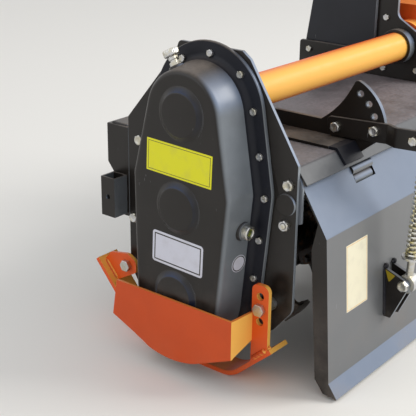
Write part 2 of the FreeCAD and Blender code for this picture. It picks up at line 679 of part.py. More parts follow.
def tailgate():
    """Tailgate sheet with its two bent sides, hinge slots and knuckles."""
    end_x = SIDE_IN - GATE_SIDE_GAP
    path = [GATE_TOP, GATE_BEND, GATE_FOOT, GATE_END]
    sheet = bent_strip(path, GATE_T, 3.0, -end_x, end_x)
    down = V(0, GATE_BEND[0] - GATE_TOP[0], GATE_BEND[1] - GATE_TOP[1]).normalize()
    inward = V(1, 0, 0).cross(down)
    hinge_run = (V(0, HINGE_Y, HINGE_Z) - V(0, *GATE_TOP)).dot(down)
    seat = V(0, *GATE_TOP) + down * hinge_run
    for x in HINGE_PLACES:
        slot = block(x - BARREL_L / 2 - 4, x + BARREL_L / 2 + 4, -8, 8, -SLOT_W / 2, SLOT_W / 2)
        tilt = math.degrees(math.atan2(-down.y, -down.z))
        slot.rotate(V(0, 0, 0), V(1, 0, 0), -tilt)
        slot.translate(seat)
        sheet = sheet.cut(slot).fuse(pressed_knuckle(x, down, inward))
    wing_outline = [
        (GATE_BEND[0] + 20, GATE_BEND[1] + 32), GATE_BEND, GATE_FOOT, GATE_END,
        (GATE_END[0] + WING_W, GATE_END[1] + 2), (GATE_FOOT[0] + WING_W, GATE_FOOT[1]),
        (GATE_BEND[0] + WING_W, GATE_BEND[1] - 30),
    ]
    wing = plate(wing_outline, -end_x, -end_x + GATE_T)
    solids = [wing, right_hand(wing)]
    for x in HINGE_PLACES:
        for sign in (-1, 1):
            near = x + sign * (BARREL_L / 2 + KNUCKLE_GAP)
            far = near + sign * KNUCKLE_L
            low, high = min(near, far), max(near, far)
            knuckle = bar_x(HINGE_Y, HINGE_Z, BARREL_R, low, high)
            centre = V(0, HINGE_Y, HINGE_Z)
            near_seat = seat + inward
            corners = [centre + down * 8, centre - down * 8, near_seat - down * 8, near_seat + down * 8]
            web = plate([(corner.y, corner.z) for corner in corners], low, high)
            solids.append(knuckle.fuse(web))
    sheet = sheet.fuse(solids)
    return sheet.cut(bar_x(HINGE_Y, HINGE_Z, HINGE_ROD_R + FIT, -end_x - 1, end_x + 1))


def gate_ears(centre_x):
    """Pair of ears on the tailgate with the bolt that carries a spring rod's eye."""
    run = V(0, GATE_FOOT[0] - GATE_BEND[0], GATE_FOOT[1] - GATE_BEND[1]).normalize()
    top = V(0, *GATE_BEND) + run * EAR_TOP
    foot = V(0, *GATE_BEND) + run * EAR_FOOT
    outline = [(top.y, top.z), (EYE_Y - 15, EYE_Z + 6, 12), (foot.y - 16, foot.z, 4), (foot.y, foot.z)]
    solids = []
    for sign in (-1, 1):
        a = centre_x + sign * EAR_GAP / 2
        b = a + sign * EAR_T
        solids.append(plate(outline, min(a, b), max(a, b)))
    half = EAR_GAP / 2 + EAR_T
    bolt = bar_x(EYE_Y, EYE_Z, ROD_R, centre_x - half, centre_x + half)
    head = hexagon_x(EYE_Y, EYE_Z, 12, centre_x - half - 10, centre_x - half)
    nut = hexagon_x(EYE_Y, EYE_Z, 12, centre_x + half, centre_x + half + 12)
    return solids[0].fuse([solids[1], bolt, head, nut])


def rod_direction():
    """Unit vector up the spring rod at rest."""
    return V(0, SWIVEL_Y - EYE_Y, SWIVEL_Z - EYE_Z).normalize()


def spring_rod(centre_x):
    """Rod with its eye, lower washer and stop nut above the swivel."""
    up = rod_direction()
    eye_centre = V(centre_x, EYE_Y, EYE_Z)
    reach = math.hypot(SWIVEL_Y - EYE_Y, SWIVEL_Z - EYE_Z)
    half = EAR_GAP / 2 - 1
    eye = bar_x(EYE_Y, EYE_Z, EYE_R, centre_x - half, centre_x + half)
    rod = Part.makeCylinder(ROD_R, reach + ROD_ABOVE, eye_centre, up)
    washer = Part.makeCylinder(WASHER_R, WASHER_T, eye_centre + up * WASHER_FROM_EYE, up)
    nut = Part.makeCylinder(14, 24, eye_centre + up * (reach + SWIVEL_H / 2 + WASHER_T + 0.3), up)
    stop = Part.makeCylinder(STOP_R, WASHER_T, eye_centre + up * (reach + SWIVEL_H / 2 + 0.3), up)
    body = eye.fuse([rod, washer, nut, stop])
    return body.cut(bar_x(EYE_Y, EYE_Z, ROD_R + FIT, centre_x - half - 1, centre_x + half + 1))


def rod_spring(centre_x):
    """Coil spring between the lower washer and the swivel, as one plain sleeve."""
    up = rod_direction()
    eye_centre = V(centre_x, EYE_Y, EYE_Z)
    reach = math.hypot(SWIVEL_Y - EYE_Y, SWIVEL_Z - EYE_Z)
    start = WASHER_FROM_EYE + WASHER_T + 0.3
    length = reach - SWIVEL_H / 2 - 0.3 - start
    outer = Part.makeCylinder(SPRING_R, length, eye_centre + up * start, up)
    inner = Part.makeCylinder(ROD_R + 1.5, length, eye_centre + up * start, up)
    return outer.cut(inner)


def rod_swivel(centre_x, sign):
    """Block at the arm's end that the rod slides through, with its pivot pin."""
    half_w = SWIVEL_W / 2
    body = block(centre_x - half_w, centre_x + half_w,
                 -SWIVEL_D / 2, SWIVEL_D / 2, -SWIVEL_H / 2, SWIVEL_H / 2)
    up = rod_direction()
    tilt = math.degrees(math.atan2(-up.y, up.z))
    body.rotate(V(0, 0, 0), V(1, 0, 0), tilt)
    body.translate(V(0, SWIVEL_Y, SWIVEL_Z))
    centre = V(centre_x, SWIVEL_Y, SWIVEL_Z)
    hole = Part.makeCylinder(SWIVEL_HOLE_R, 2 * SWIVEL_H, centre - up * SWIVEL_H, up)
    near = centre_x + sign * half_w
    arm_face = sign * (ARM_X + ARM_STEP)
    seat = arm_face - sign * SEAT_GAP
    far = arm_face + sign * (ARM_T + 6)
    spacer = bar_x(SWIVEL_Y, SWIVEL_Z, 13, min(near, seat), max(near, seat))
    pin = bar_x(SWIVEL_Y, SWIVEL_Z, SWIVEL_PIN_R, min(near, far), max(near, far))
    return body.cut(hole).fuse([spacer, pin])


def from_pivot(radius, degrees):
    """Place behind the arm's pivot, at an angle above level."""
    angle = math.radians(degrees)
    return PIVOT_Y - radius * math.cos(angle), PIVOT_Z + radius * math.sin(angle)


def sector_plate():
    """Right sector: hole row, concave front edge, foot over the hood's rear corner and a leg on the hood."""
    low, high = SECTOR_ENDS
    holes = [(PIVOT_Y, PIVOT_Z, SKID_HOLE_R)]
    holes += [(*from_pivot(SECTOR_HOLE_R, degrees), SKID_HOLE_R) for degrees in SECTOR_HOLES]
    half_turn = math.radians(high - low) / 2
    crown = from_pivot(SECTOR_R / math.cos(half_turn), (low + high) / 2)
    lip_slope = (HOOD_TOP - HOOD_LIP_Z) / (-HOOD_REAR - HOOD_LIP_Y)
    lip_z = HOOD_TOP - (-HOOD_REAR - SECTOR_LIP_Y) * lip_slope
    outline = [
        from_pivot(SECTOR_R, low), (*crown, SECTOR_R - 1), (PIVOT_Y - 37, PIVOT_Z + 104, 9),
        (PIVOT_Y - 4, PIVOT_Z + 42, 200), (PIVOT_Y + 42, PIVOT_Z + 8), (-20, PIVOT_Z + 8), (0, HOOD_TOP),
        (-HOOD_REAR, HOOD_TOP), (SECTOR_LIP_Y, lip_z), (PIVOT_Y - SECTOR_R + 2, PIVOT_Z - 4, 12),
    ]
    upright = plate(outline, ARM_X - SECTOR_T, ARM_X, holes)
    leg = block(ARM_X, ARM_X + SECTOR_LEG_W, SECTOR_LEG_REAR, 0, HOOD_TOP, HOOD_TOP + SECTOR_LEG_T)
    return upright.fuse(leg)


def spring_arm():
    """Right arm: flat against the sector, stepped outwards before the swivel."""
    x_in = ARM_X
    run = V(0, SWIVEL_Y - PIVOT_Y, SWIVEL_Z - PIVOT_Z).normalize()
    side = V(1, 0, 0).cross(run) * (ARM_W / 2)
    start = V(0, PIVOT_Y, PIVOT_Z) - run * 22
    end = V(0, SWIVEL_Y, SWIVEL_Z) + run * 20
    outline = [((start + side).y, (start + side).z, 10), ((end + side).y, (end + side).z, 14),
               ((end - side).y, (end - side).z, 14), ((start - side).y, (start - side).z, 10)]
    side_view = plate(outline, x_in, x_in + ARM_STEP + ARM_T, [(SWIVEL_Y, SWIVEL_Z, SWIVEL_PIN_R + FIT)])
    stepped = bent_strip([
        (PIVOT_Y + 60, x_in + ARM_T), (ARM_STEP_FRONT, x_in + ARM_T),
        (ARM_STEP_REAR, x_in + ARM_STEP + ARM_T), (SWIVEL_Y - 60, x_in + ARM_STEP + ARM_T),
    ], ARM_T, 8.0, -HOOD_TOP - 200, -HOOD_TOP + 60)
    stepped.rotate(V(0, 0, 0), V(0, 1, 0), 90)
    return side_view.common(stepped)


def bearing(x_low, x_high, closed):
    """Round bearing housing on a side plate."""
    body = bar_x(0, 0, 62, x_low, x_high)
    bore_high = x_high - 8 if closed else x_high + 1
    return body.cut(bar_x(0, 0, JOURNAL_R + FIT, x_low - 1, bore_high))


def tine(side):
    """One tine: a blade swept back from its flange, bent sideways into a foot that narrows to its end."""
    top = SWING_R - TINE_T
    far = TINE_FOOT + 1
    bent = bent_strip([(0, ROTOR_TUBE_R), (0, SWING_R), (TINE_FOOT, SWING_R)][::-1], TINE_T, 8.0, -50, 50)
    bent.rotate(V(0, 0, 0), V(0, 0, 1), -90)
    outline = [
        (-26, ROTOR_TUBE_R + 8, 5), (26, ROTOR_TUBE_R + 8, 5), (28, 100, 60), (14, SWING_R + 1),
        (-44, SWING_R + 1), (-42, top - 10), (-22, 90, 60),
    ]
    side_view = plate(outline, -1, far)
    plan = [V(-1, -46, 0), V(far, -38, 0), V(far, 2, 0), V(24, 14, 0), V(24, 40, 0), V(-1, 40, 0)]
    from_above = Part.Face(Part.makePolygon(plan + plan[:1])).extrude(V(0, 0, SWING_R + 1))
    swing = bar_x(0, 0, SWING_R, -1, far)
    shape = bent.common(side_view).common(from_above).common(swing)
    return shape if side > 0 else shape.mirror(V(0, 0, 0), V(1, 0, 0))


def rotor():
    """Tube, journals, flanges and tines as one welded and bolted unit; the tines form spirals."""
    tube_end = SIDE_IN - ROTOR_END_GAP
    pieces = [bar_x(0, 0, JOURNAL_R, -SIDE_OUT + 1, SIDE_OUT + 30)]
    shape = bar_x(0, 0, ROTOR_TUBE_R, -tube_end, tube_end)
    spacing = (2 * tube_end - 2 * FLANGE_END_GAP) / (FLANGE_STATIONS - 1)
    blades = {side: tine(side) for side in (-1, 1)}
    for i in range(FLANGE_STATIONS):
        x = -tube_end + FLANGE_END_GAP + i * spacing
        pieces.append(bar_x(0, 0, FLANGE_R, x - FLANGE_DISC_T / 2, x + FLANGE_DISC_T / 2))
        for side, blade in blades.items():
            for k in range(TINES_PER_SIDE):
                turn = k * 360 / TINES_PER_SIDE + (0 if side > 0 else 60) + i * FLANGE_TWIST
                fitted = blade.copy()
                fitted.translate(V(x + side * FLANGE_DISC_T / 2, 0, 0))
                fitted.rotate(V(0, 0, 0), V(1, 0, 0), turn)
                pieces.append(fitted)
    return shape.fuse(pieces)


def breather():
    """Breather plug on the forward top of the gear case."""
    base, direction = breather_seat()
    stem = Part.makeCylinder(8, 24, base, direction)
    cap = Part.makeCylinder(16, 13, base + direction * 20, direction)
    return leaned(stem.fuse(cap))


def level_plug():
    """Oil level sight plug on the rear wall of the gear case."""
    base, direction = level_seat()
    return leaned(Part.makeCylinder(13, 7, base, direction))


parts = {}
parts["side_plate_left"] = side_plate()
parts["side_plate_right"] = right_hand(side_plate())
parts["hood"] = hood()
parts["front_beam"] = front_beam()
parts["stand_socket"] = stand_socket()
parts["gear_case"] = case_cover()
parts["breather_plug"] = breather()
parts["level_plug"] = level_plug()
parts["drive_tube"] = drive_tube()
parts["support_tube"] = right_hand(drive_tube())
parts["tube_flange_left"] = tube_flange()
parts["tube_flange_right"] = right_hand(tube_flange())
parts["gearbox"] = gearbox()
parts["gearbox_mount"] = gearbox_mount()
parts["pto_shield"] = pto_shield()
parts["pto_shaft"] = pto_shaft()
parts["mast_plate_left"] = mast_plate()
parts["mast_plate_right"] = right_hand(mast_plate())
parts["mast_spacer"] = mast_spacer()
parts["mast_brace_left"] = mast_brace()
parts["mast_brace_right"] = right_hand(mast_brace())
parts["hitch_bracket_left"] = hitch_bracket()
parts["hitch_bracket_right"] = right_hand(hitch_bracket())
parts["hitch_pin_left"] = hitch_pin()
parts["hitch_pin_right"] = right_hand(hitch_pin())
parts["skid_left"] = skid()
parts["skid_right"] = right_hand(skid())
parts["skid_guard"] = skid_guard()
parts["skid_bolts_left"] = skid_bolts()
parts["skid_bolts_right"] = right_hand(skid_bolts())
parts["hinge_brackets"] = hinge_brackets()
parts["hinge_rod"] = hinge_rod()
parts["tailgate"] = tailgate()
parts["bearing_left"] = bearing(-SIDE_IN, -SIDE_IN + 30, False)
parts["bearing_right"] = bearing(SIDE_OUT, SIDE_OUT + 46, True)
parts["rotor"] = rotor()
for name, sign in (("left", -1), ("right", 1)):
    rod_x = sign * ROD_X
    parts["gate_ears_" + name] = gate_ears(rod_x)
    parts["spring_rod_" + name] = spring_rod(rod_x)
    parts["rod_spring_" + name] = rod_spring(rod_x)
    parts["rod_swivel_" + name] = rod_swivel(rod_x, sign)
    parts["spring_arm_" + name] = spring_arm() if sign > 0 else right_hand(spring_arm())
    parts["sector_plate_" + name] = sector_plate() if sign > 0 else right_hand(sector_plate())

os.makedirs("parts", exist_ok=True)
for node, shape in parts.items():
    placed = shape.copy()
    placed.translate(V(MIDDLE_X, ROTOR_Y, ROTOR_HEIGHT))
    placed.exportStep(os.path.join("parts", node + ".step"))
    box = placed.BoundBox
    print(node, len(placed.Solids), placed.isValid(), [round(v) for v in
          (box.XMin, box.XMax, box.YMin, box.YMax, box.ZMin, box.ZMax)], round(placed.Volume / 1e3))
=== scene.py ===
"""Finishes for a three-point-hitch rotary tiller: paint, castings, fasteners, springs, welds and soil.

Every length in the classes is in millimetres, measured from the rotor's axis and from the outer face of
the gear case or the machine's middle plane, and Datum turns it into metres in the shared frame.
"""
from __future__ import annotations

import json
import logging
import math
import sys
from dataclasses import dataclass
from enum import Enum
from functools import partial
from typing import Any, Callable, Sequence

import bmesh
import bpy
import numpy as np
from mathutils import Matrix, Vector

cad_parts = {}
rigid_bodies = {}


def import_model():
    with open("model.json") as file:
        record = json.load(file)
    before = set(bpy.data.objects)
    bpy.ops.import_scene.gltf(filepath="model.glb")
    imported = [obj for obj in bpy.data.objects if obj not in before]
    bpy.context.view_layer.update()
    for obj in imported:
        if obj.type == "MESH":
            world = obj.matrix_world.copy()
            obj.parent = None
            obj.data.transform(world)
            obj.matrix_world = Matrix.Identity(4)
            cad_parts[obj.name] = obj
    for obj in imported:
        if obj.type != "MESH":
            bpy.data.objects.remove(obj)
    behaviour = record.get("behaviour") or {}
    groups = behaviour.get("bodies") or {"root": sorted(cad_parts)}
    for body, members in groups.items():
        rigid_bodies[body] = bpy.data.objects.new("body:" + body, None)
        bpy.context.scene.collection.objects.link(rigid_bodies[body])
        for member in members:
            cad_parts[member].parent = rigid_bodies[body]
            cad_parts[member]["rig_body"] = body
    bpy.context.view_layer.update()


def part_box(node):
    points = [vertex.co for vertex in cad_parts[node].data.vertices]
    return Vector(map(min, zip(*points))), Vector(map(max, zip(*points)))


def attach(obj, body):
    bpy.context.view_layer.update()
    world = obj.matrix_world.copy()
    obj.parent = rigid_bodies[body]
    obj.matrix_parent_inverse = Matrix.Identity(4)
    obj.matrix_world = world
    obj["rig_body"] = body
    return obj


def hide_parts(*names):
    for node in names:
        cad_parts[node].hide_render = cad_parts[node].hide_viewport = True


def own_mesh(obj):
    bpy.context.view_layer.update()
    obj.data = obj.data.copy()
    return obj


Material = bpy.types.Material
Piece = bpy.types.Object
Node = bpy.types.Node
Socket = bpy.types.NodeSocket
Tree = bpy.types.NodeTree
Adder = Callable[..., Node]                          # add_node bound to a tree
Shape = tuple[np.ndarray, list[np.ndarray]]          # vertices and groups of faces
Profile = Sequence[tuple[float, float]]              # radii and heights, or places as (y, z)
Outline = Sequence[tuple[float, float, float]]       # corners as (y, z, radius)
Radial = Callable[[np.ndarray, np.ndarray, np.ndarray], np.ndarray]

LOG = logging.getLogger("tiller")
MM = 0.001                          # one millimetre in the frame's metres

CASE_LEAN = math.radians(2.27)      # the case's foot leans forward
CASE_DEPTH = 90.0                   # from the side plate to the case's face
BOSS_H = 8.0                        # bearing bosses stand this far proud of the case's face
SUNNY_SIDE = (0.30, -0.90, 0.30)    # towards the sun; faces turned this way get the painted sunlit colour
DUST = "8b8078"                     # dry field dust
ROUND_DEG = 32.0                    # edges sharper than this are rounded
SAME_POINT = 0.01 * MM              # points this close are one
FILM_T = 0.35                       # thickness of a vinyl film
SIXTHS = tuple(range(30, 390, 60))  # six bolts round a circle, in degrees
SMOOTH = {"interpolation_type": "SMOOTHSTEP"}        # a range that eases in and out
COLOURS = {"data_type": "RGBA"}                      # a mix of colours: share at 0, under at 6, over at 7
EVEN = {"Detail": 3.0, "Roughness": 0.55}            # the usual mixture of a noise's scales


class Hand(Enum):
    """Side of the machine, seen from behind."""

    LEFT = -1
    RIGHT = 1

    @property
    def side(self) -> str:
        """The side's word in names."""
        return self.name.lower()


@dataclass(frozen=True)
class Datum:
    """Places read from the frame: case face, middle plane and rotor axis, in metres."""

    face_x: float
    middle_x: float
    axis_y: float
    axis_z: float

    def point(self, x: float, y: float, z: float) -> np.ndarray:
        """Point from distances in mm: right of the case's face, ahead of and above the rotor axis."""
        return self.points(np.array([x, y, z]))

    def points(self, local: np.ndarray) -> np.ndarray:
        """Array of such points at once."""
        return np.array([self.face_x, self.axis_y, self.axis_z]) + local * MM

    def across(self, x: float, y: float, z: float) -> np.ndarray:
        """Point from distances in mm: right of the middle plane, ahead of and above the rotor axis."""
        return np.array([self.middle_x, self.axis_y, self.axis_z]) + np.array([x, y, z]) * MM

    def laid(self, shape: Shape) -> Shape:
        """Shape drawn in mm from the middle plane and the rotor axis, set in the frame."""
        vertices, faces = shape
        return vertices * MM + self.across(0, 0, 0), faces

    def mirrored(self, x: float) -> float:
        """Distance from the case's face, in mm, of the same place on the machine's other side."""
        return 2 * (self.middle_x - self.face_x) / MM - x


def read_datum() -> Datum:
    """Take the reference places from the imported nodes.

    Returns:
        The places that every class measures from.
    """
    case_low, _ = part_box("gear_case")
    rod_low, rod_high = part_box("hinge_rod")
    bearing_low, bearing_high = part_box("bearing_right")
    bearing = (bearing_low + bearing_high) / 2
    return Datum(case_low.x + BOSS_H * MM, (rod_low.x + rod_high.x) / 2, bearing.y, bearing.z)


def linear(code: str) -> tuple[float, float, float, float]:
    """Turn an sRGB hex colour into the linear values that shaders use.

    Args:
        code: six hex digits.

    Returns:
        Red, green, blue and an alpha of one.
    """
    channels = np.array([int(code[i:i + 2], 16) for i in (0, 2, 4)]) / 255
    low = channels / 12.92
    high = ((channels + 0.055) / 1.055) ** 2.4
    return (*np.where(channels <= 0.04045, low, high).tolist(), 1.0)


def add_node(tree: Tree, kind: str, inputs: dict[Any, Any] | Sequence[Any] = (), **settings: Any) -> Node:
    """Add one shader node with its settings, its values and its links.

    Args:
        tree: node tree to add to.
        kind: the node's type name after "ShaderNode".
        inputs: values for the first sockets in order, or socket name or number to value. An output
            socket as a value is linked from, and of a node its first output.
        settings: attributes of the node itself.

    Returns:
        The new node.
    """
    node = tree.nodes.new("ShaderNode" + kind)
    for key, value in settings.items():
        setattr(node, key, value)
    for key, value in (inputs.items() if isinstance(inputs, dict) else enumerate(inputs)):
        if isinstance(value, Node):
            value = value.outputs[0]
        if isinstance(value, Socket):
            tree.links.new(value, node.inputs[key])
        else:
            node.inputs[key].default_value = value
    return node


def start_material(name: str) -> tuple[Material, Adder]:
    """Start a node material.

    Args:
        name: the finish's name.

    Returns:
        The material with an empty tree, and add_node bound to that tree.
    """
    material = bpy.data.materials.new(name)
    material.use_nodes = True
    material.node_tree.nodes.clear()
    return material, partial(add_node, material.node_tree)


def per_mm(feature: float) -> float:
    """Scale of a noise whose features are about the given size in mm."""
    return 1.0 / (feature * MM)


@dataclass(frozen=True)
class PowderCoat:
    """Baked powder coat on steel plate: smooth, glossy, faintly rippled, dusty where dust can lie.

    The ripple breaks up reflections, and dust lies on faces that look up and near the ground. Faces that
    look back get a painted sheen, a paler grey for the sun and sky that light them, and the side turned to
    the sun gets a painted sunlit colour.
    """

    name: str
    colour: str
    shade: str                   # the same paint where it looks thin or weathered
    # colour laid by the dust shares: field dust, and on the rims' finish a painted blue sky reflection
    dust: str = DUST
    gloss: float = 0.28          # roughness of the clean paint
    ripple: float = 0.05         # waviness of the plate under it, in mm
    patchy: float = 0.75         # painted sheen where it is thinnest
    index: float = 1.42          # refractive index of the clear resin
    dust_up: float = 0.55        # share of dust on faces that look up; on the rims' finish it lays a painted sky reflection
    dust_low: float = 0.35       # share of dust near the floor
    dust_thin: float = 0.0       # the same where it is thinnest
    dust_reach: float = 0.30     # height in metres where the low dust ends
    haze: str = "969ea6"         # painted sheen, for the sun and sky, on faces that look back
    haze_high: str = "9fb0cc"    # the same on faces that also tilt upwards
    haze_rear: float = 0.0       # share of the painted sheen on faces that look back
    # painted sunlit colour, lighter and yellower, for the side that the sun lights
    faded: str = "ffc05a"
    fade: float = 0.0            # share of the painted sunlit colour on the side towards the sun
    scratch: float = 0.0         # share of fine pale scratches
    scratched: str = "b9bcc0"

    def dust_share(self, add: Adder, spot: Socket, normal: Node, cloud: Node, grit: Node) -> Node:
        """Work out how much dust lies where; on the rims' finish the same share lays a painted sky reflection.

        Args:
            add: adds a node.
            spot: place on the machine.
            normal: the face's normal, split in three.
            cloud: large patches.
            grit: fine grains.

        Returns:
            Share from 0 to 1: most where a face looks up, less where it also looks back, and some near
            the floor.
        """
        height = add("SeparateXYZ", [spot]).outputs["Z"]
        upward = add("MapRange", [normal.outputs["Z"], 0.35, 0.95], **SMOOTH)
        patches = add("MapRange", [cloud, 0.30, 0.62, self.dust_thin, 1.0], **SMOOTH)
        up_share = add("Math", [upward, patches], operation="MULTIPLY")
        turned_back = add("MapRange", [normal.outputs["Y"], -0.15, -0.6, 1.0, 0.35], **SMOOTH)
        up_share = add("Math", [up_share, turned_back], operation="MULTIPLY")
        near_floor = add("MapRange", [height, self.dust_reach, 0.0], **SMOOTH)
        low = add("Math", [near_floor, add("MapRange", [cloud, 0.42, 0.70], **SMOOTH)],
                  operation="MULTIPLY")
        share = add("Math", [add("Math", [up_share, self.dust_up], operation="MULTIPLY"),
                             add("Math", [low, self.dust_low], operation="MULTIPLY")], operation="ADD")
        grains = add("MapRange", [grit, 0.25, 0.65, 0.55, 1.0], **SMOOTH)
        return add("Clamp", [add("Math", [share, grains], operation="MULTIPLY")])

    def weathered(self, add: Adder, where: Node, normal: Node, cloud: Node) -> Socket:
        """Work out the coat's own colour.

        Args:
            add: adds a node.
            where: texture coordinates.
            normal: the face's normal, split in three.
            cloud: large patches.

        Returns:
            The paint in two tones, with the painted sunlit colour on the side towards the sun, the painted
            sheen on faces that look back, and scratches.
        """
        spot = where.outputs["Object"]
        mottle = add("TexNoise", {"Vector": spot, "Scale": per_mm(60.0), **EVEN})
        paint = add("Mix", {0: add("MapRange", [mottle, 0.35, 0.7, 0.0, 0.5], **SMOOTH),
                            6: linear(self.colour), 7: linear(self.shade)}, **COLOURS).outputs[2]
        # Painted sheen: faces that look back are lightened to a grey, bluer where they tilt up, for the sun
        # and sky lighting them.
        behind = add("MapRange", [normal.outputs["Y"], -0.25, -0.85, 0.0, self.haze_rear], **SMOOTH)
        sheen_patches = add("MapRange", [cloud, 0.25, 0.7, self.patchy, 1.0], **SMOOTH)
        sheen_share = add("Math", [behind, sheen_patches], operation="MULTIPLY")
        haze = add("Mix", {0: add("MapRange", [normal.outputs["Z"], 0.12, 0.45], **SMOOTH),
                           6: linear(self.haze), 7: linear(self.haze_high)}, **COLOURS).outputs[2]
        # Painted sunlight: faces turned towards SUNNY_SIDE take the lighter, yellower sunlit colour.
        sunny = add("VectorMath", [where.outputs["Normal"], SUNNY_SIDE],
                    operation="DOT_PRODUCT").outputs["Value"]
        paint = add("Mix", {0: add("MapRange", [sunny, 0.0, 0.85, 0.0, self.fade], **SMOOTH),
                            6: paint, 7: linear(self.faded)}, **COLOURS).outputs[2]
        paint = add("Mix", {0: sheen_share, 6: paint, 7: haze}, **COLOURS).outputs[2]
        # Scratches run up and down, drawn wider than real ones so that they show.
        upright = add("Mapping", {"Vector": spot, "Scale": (1.0, 1.0, 0.12)})
        lines = add("TexNoise", {"Vector": upright, "Scale": per_mm(2.2), "Detail": 2.0, "Roughness": 0.5})
        places = add("TexNoise", {"Vector": spot, "Scale": per_mm(55.0), "Detail": 2.0, "Roughness": 0.55})
        marks = add("Math", [add("MapRange", [lines, 0.70, 0.76], **SMOOTH),
                             add("MapRange", [places, 0.55, 0.65, 0.0, self.scratch], **SMOOTH)],
                    operation="MULTIPLY")
        return add("Mix", {0: marks, 6: paint, 7: linear(self.scratched)}, **COLOURS).outputs[2]

    def build(self) -> Material:
        """Make the material."""
        material, add = start_material(self.name)
        where = add("TexCoord")
        spot = where.outputs["Object"]
        normal = add("SeparateXYZ", [where.outputs["Normal"]])
        cloud = add("TexNoise", {"Vector": spot, "Scale": per_mm(140.0), "Detail": 5.0, "Roughness": 0.6})
        grit = add("TexNoise", {"Vector": spot, "Scale": per_mm(9.0), "Detail": 4.0, "Roughness": 0.7})
        share = self.dust_share(add, spot, normal, cloud, grit)
        colour = add("Mix", {0: share, 6: self.weathered(add, where, normal, cloud),
                             7: linear(self.dust)}, **COLOURS).outputs[2]
        smear = add("TexNoise", {"Vector": spot, "Scale": per_mm(35.0), "Detail": 4.0, "Roughness": 0.55})
        rough = add("Math", [self.gloss, add("MapRange", [smear, 0.3, 0.7, 0.0, 0.08], **SMOOTH)],
                    operation="ADD")
        rough = add("Math", [rough, add("Math", [share, 0.5], operation="MULTIPLY")], operation="ADD")
        # Orange peel of the baked coat, under the grit that lies on it.
        waves = add("TexNoise", {"Vector": spot, "Scale": per_mm(5.0), "Detail": 2.0, "Roughness": 0.55})
        ripple = add("Bump", {"Height": waves, "Distance": self.ripple * MM, "Strength": 0.5})
        relief = add("Bump", {"Height": add("Math", [grit, share], operation="MULTIPLY"),
                              "Distance": 0.3 * MM, "Strength": 0.6, "Normal": ripple})
        add("OutputMaterial", [add("BsdfPrincipled", {"Base Color": colour, "Roughness": rough,
                                                      "Normal": relief, "IOR": self.index})])
        return material


@dataclass(frozen=True)
class PlatedSteel:
    """Zinc-plated steel, with a slight yellow passivation and fine pitting."""

    name: str
    colour: str
    tint: str
    roughness: float = 0.34

    def build(self) -> Material:
        """Make the material."""
        material, add = start_material(self.name)
        spot = add("TexCoord").outputs["Object"]
        cloud = add("TexNoise", {"Vector": spot, "Scale": per_mm(14.0), "Detail": 4.0, "Roughness": 0.55})
        colour = add("Mix", {0: add("MapRange", [cloud, 0.35, 0.65], **SMOOTH),
                             6: linear(self.colour), 7: linear(self.tint)}, **COLOURS).outputs[2]
        handled = add("TexNoise", {"Vector": spot, "Scale": per_mm(3.0), **EVEN})
        rough = add("MapRange", [handled, 0.3, 0.7, self.roughness - 0.08, self.roughness + 0.14], **SMOOTH)
        # The plating's own pits are finer; they are drawn this coarse so that they break up the gloss.
        pits = add("TexNoise", {"Vector": spot, "Scale": per_mm(1.2), **EVEN})
        relief = add("Bump", {"Height": pits, "Distance": 0.06 * MM, "Strength": 0.5})
        add("OutputMaterial", [add("BsdfPrincipled", {"Base Color": colour, "Metallic": 1.0,
                                                      "Roughness": rough, "Normal": relief})])
        return material


@dataclass(frozen=True)
class Vinyl:
    """Printed vinyl film: flat colour with a slight sheen, a little dust and faint wrinkles."""

    name: str
    colour: str
    roughness: float = 0.38

    def build(self) -> Material:
        """Make the material."""
        material, add = start_material(self.name)
        spot = add("TexCoord").outputs["Object"]
        dirt = add("TexNoise", {"Vector": spot, "Scale": per_mm(28.0), "Detail": 5.0, "Roughness": 0.55})
        colour = add("Mix", {0: add("MapRange", [dirt, 0.45, 0.8, 0.0, 0.16], **SMOOTH),
                             6: linear(self.colour), 7: linear(DUST)}, **COLOURS).outputs[2]
        wrinkles = add("TexNoise", {"Vector": spot, "Scale": per_mm(6.0), **EVEN})
        relief = add("Bump", {"Height": wrinkles, "Distance": 0.08 * MM, "Strength": 0.35})
        add("OutputMaterial", [add("BsdfPrincipled", {"Base Color": colour, "Normal": relief,
                                                      "Roughness": self.roughness, "IOR": 1.48})])
        return material


@dataclass(frozen=True)
class MouldedPlastic:
    """Injection-moulded polyethylene: matte, slightly mottled, with a fine spark-eroded grain."""

    name: str
    colour: str
    worn: str = "3a3835"

    def build(self) -> Material:
        """Make the material."""
        material, add = start_material(self.name)
        spot = add("TexCoord").outputs["Object"]
        mottle = add("TexNoise", {"Vector": spot, "Scale": per_mm(40.0), "Detail": 4.0, "Roughness": 0.55})
        colour = add("Mix", {0: add("MapRange", [mottle, 0.35, 0.75, 0.0, 0.35], **SMOOTH),
                             6: linear(self.colour), 7: linear(self.worn)}, **COLOURS).outputs[2]
        # A spark-eroded grain is about 0.3 mm; it is drawn coarser so that it shows.
        grain = add("TexNoise", {"Vector": spot, "Scale": per_mm(1.5), **EVEN})
        relief = add("Bump", {"Height": grain, "Distance": 0.12 * MM, "Strength": 0.6})
        add("OutputMaterial", [add("BsdfPrincipled", {"Base Color": colour, "Normal": relief,
                                                      "Roughness": 0.55, "IOR": 1.5})])
        return material


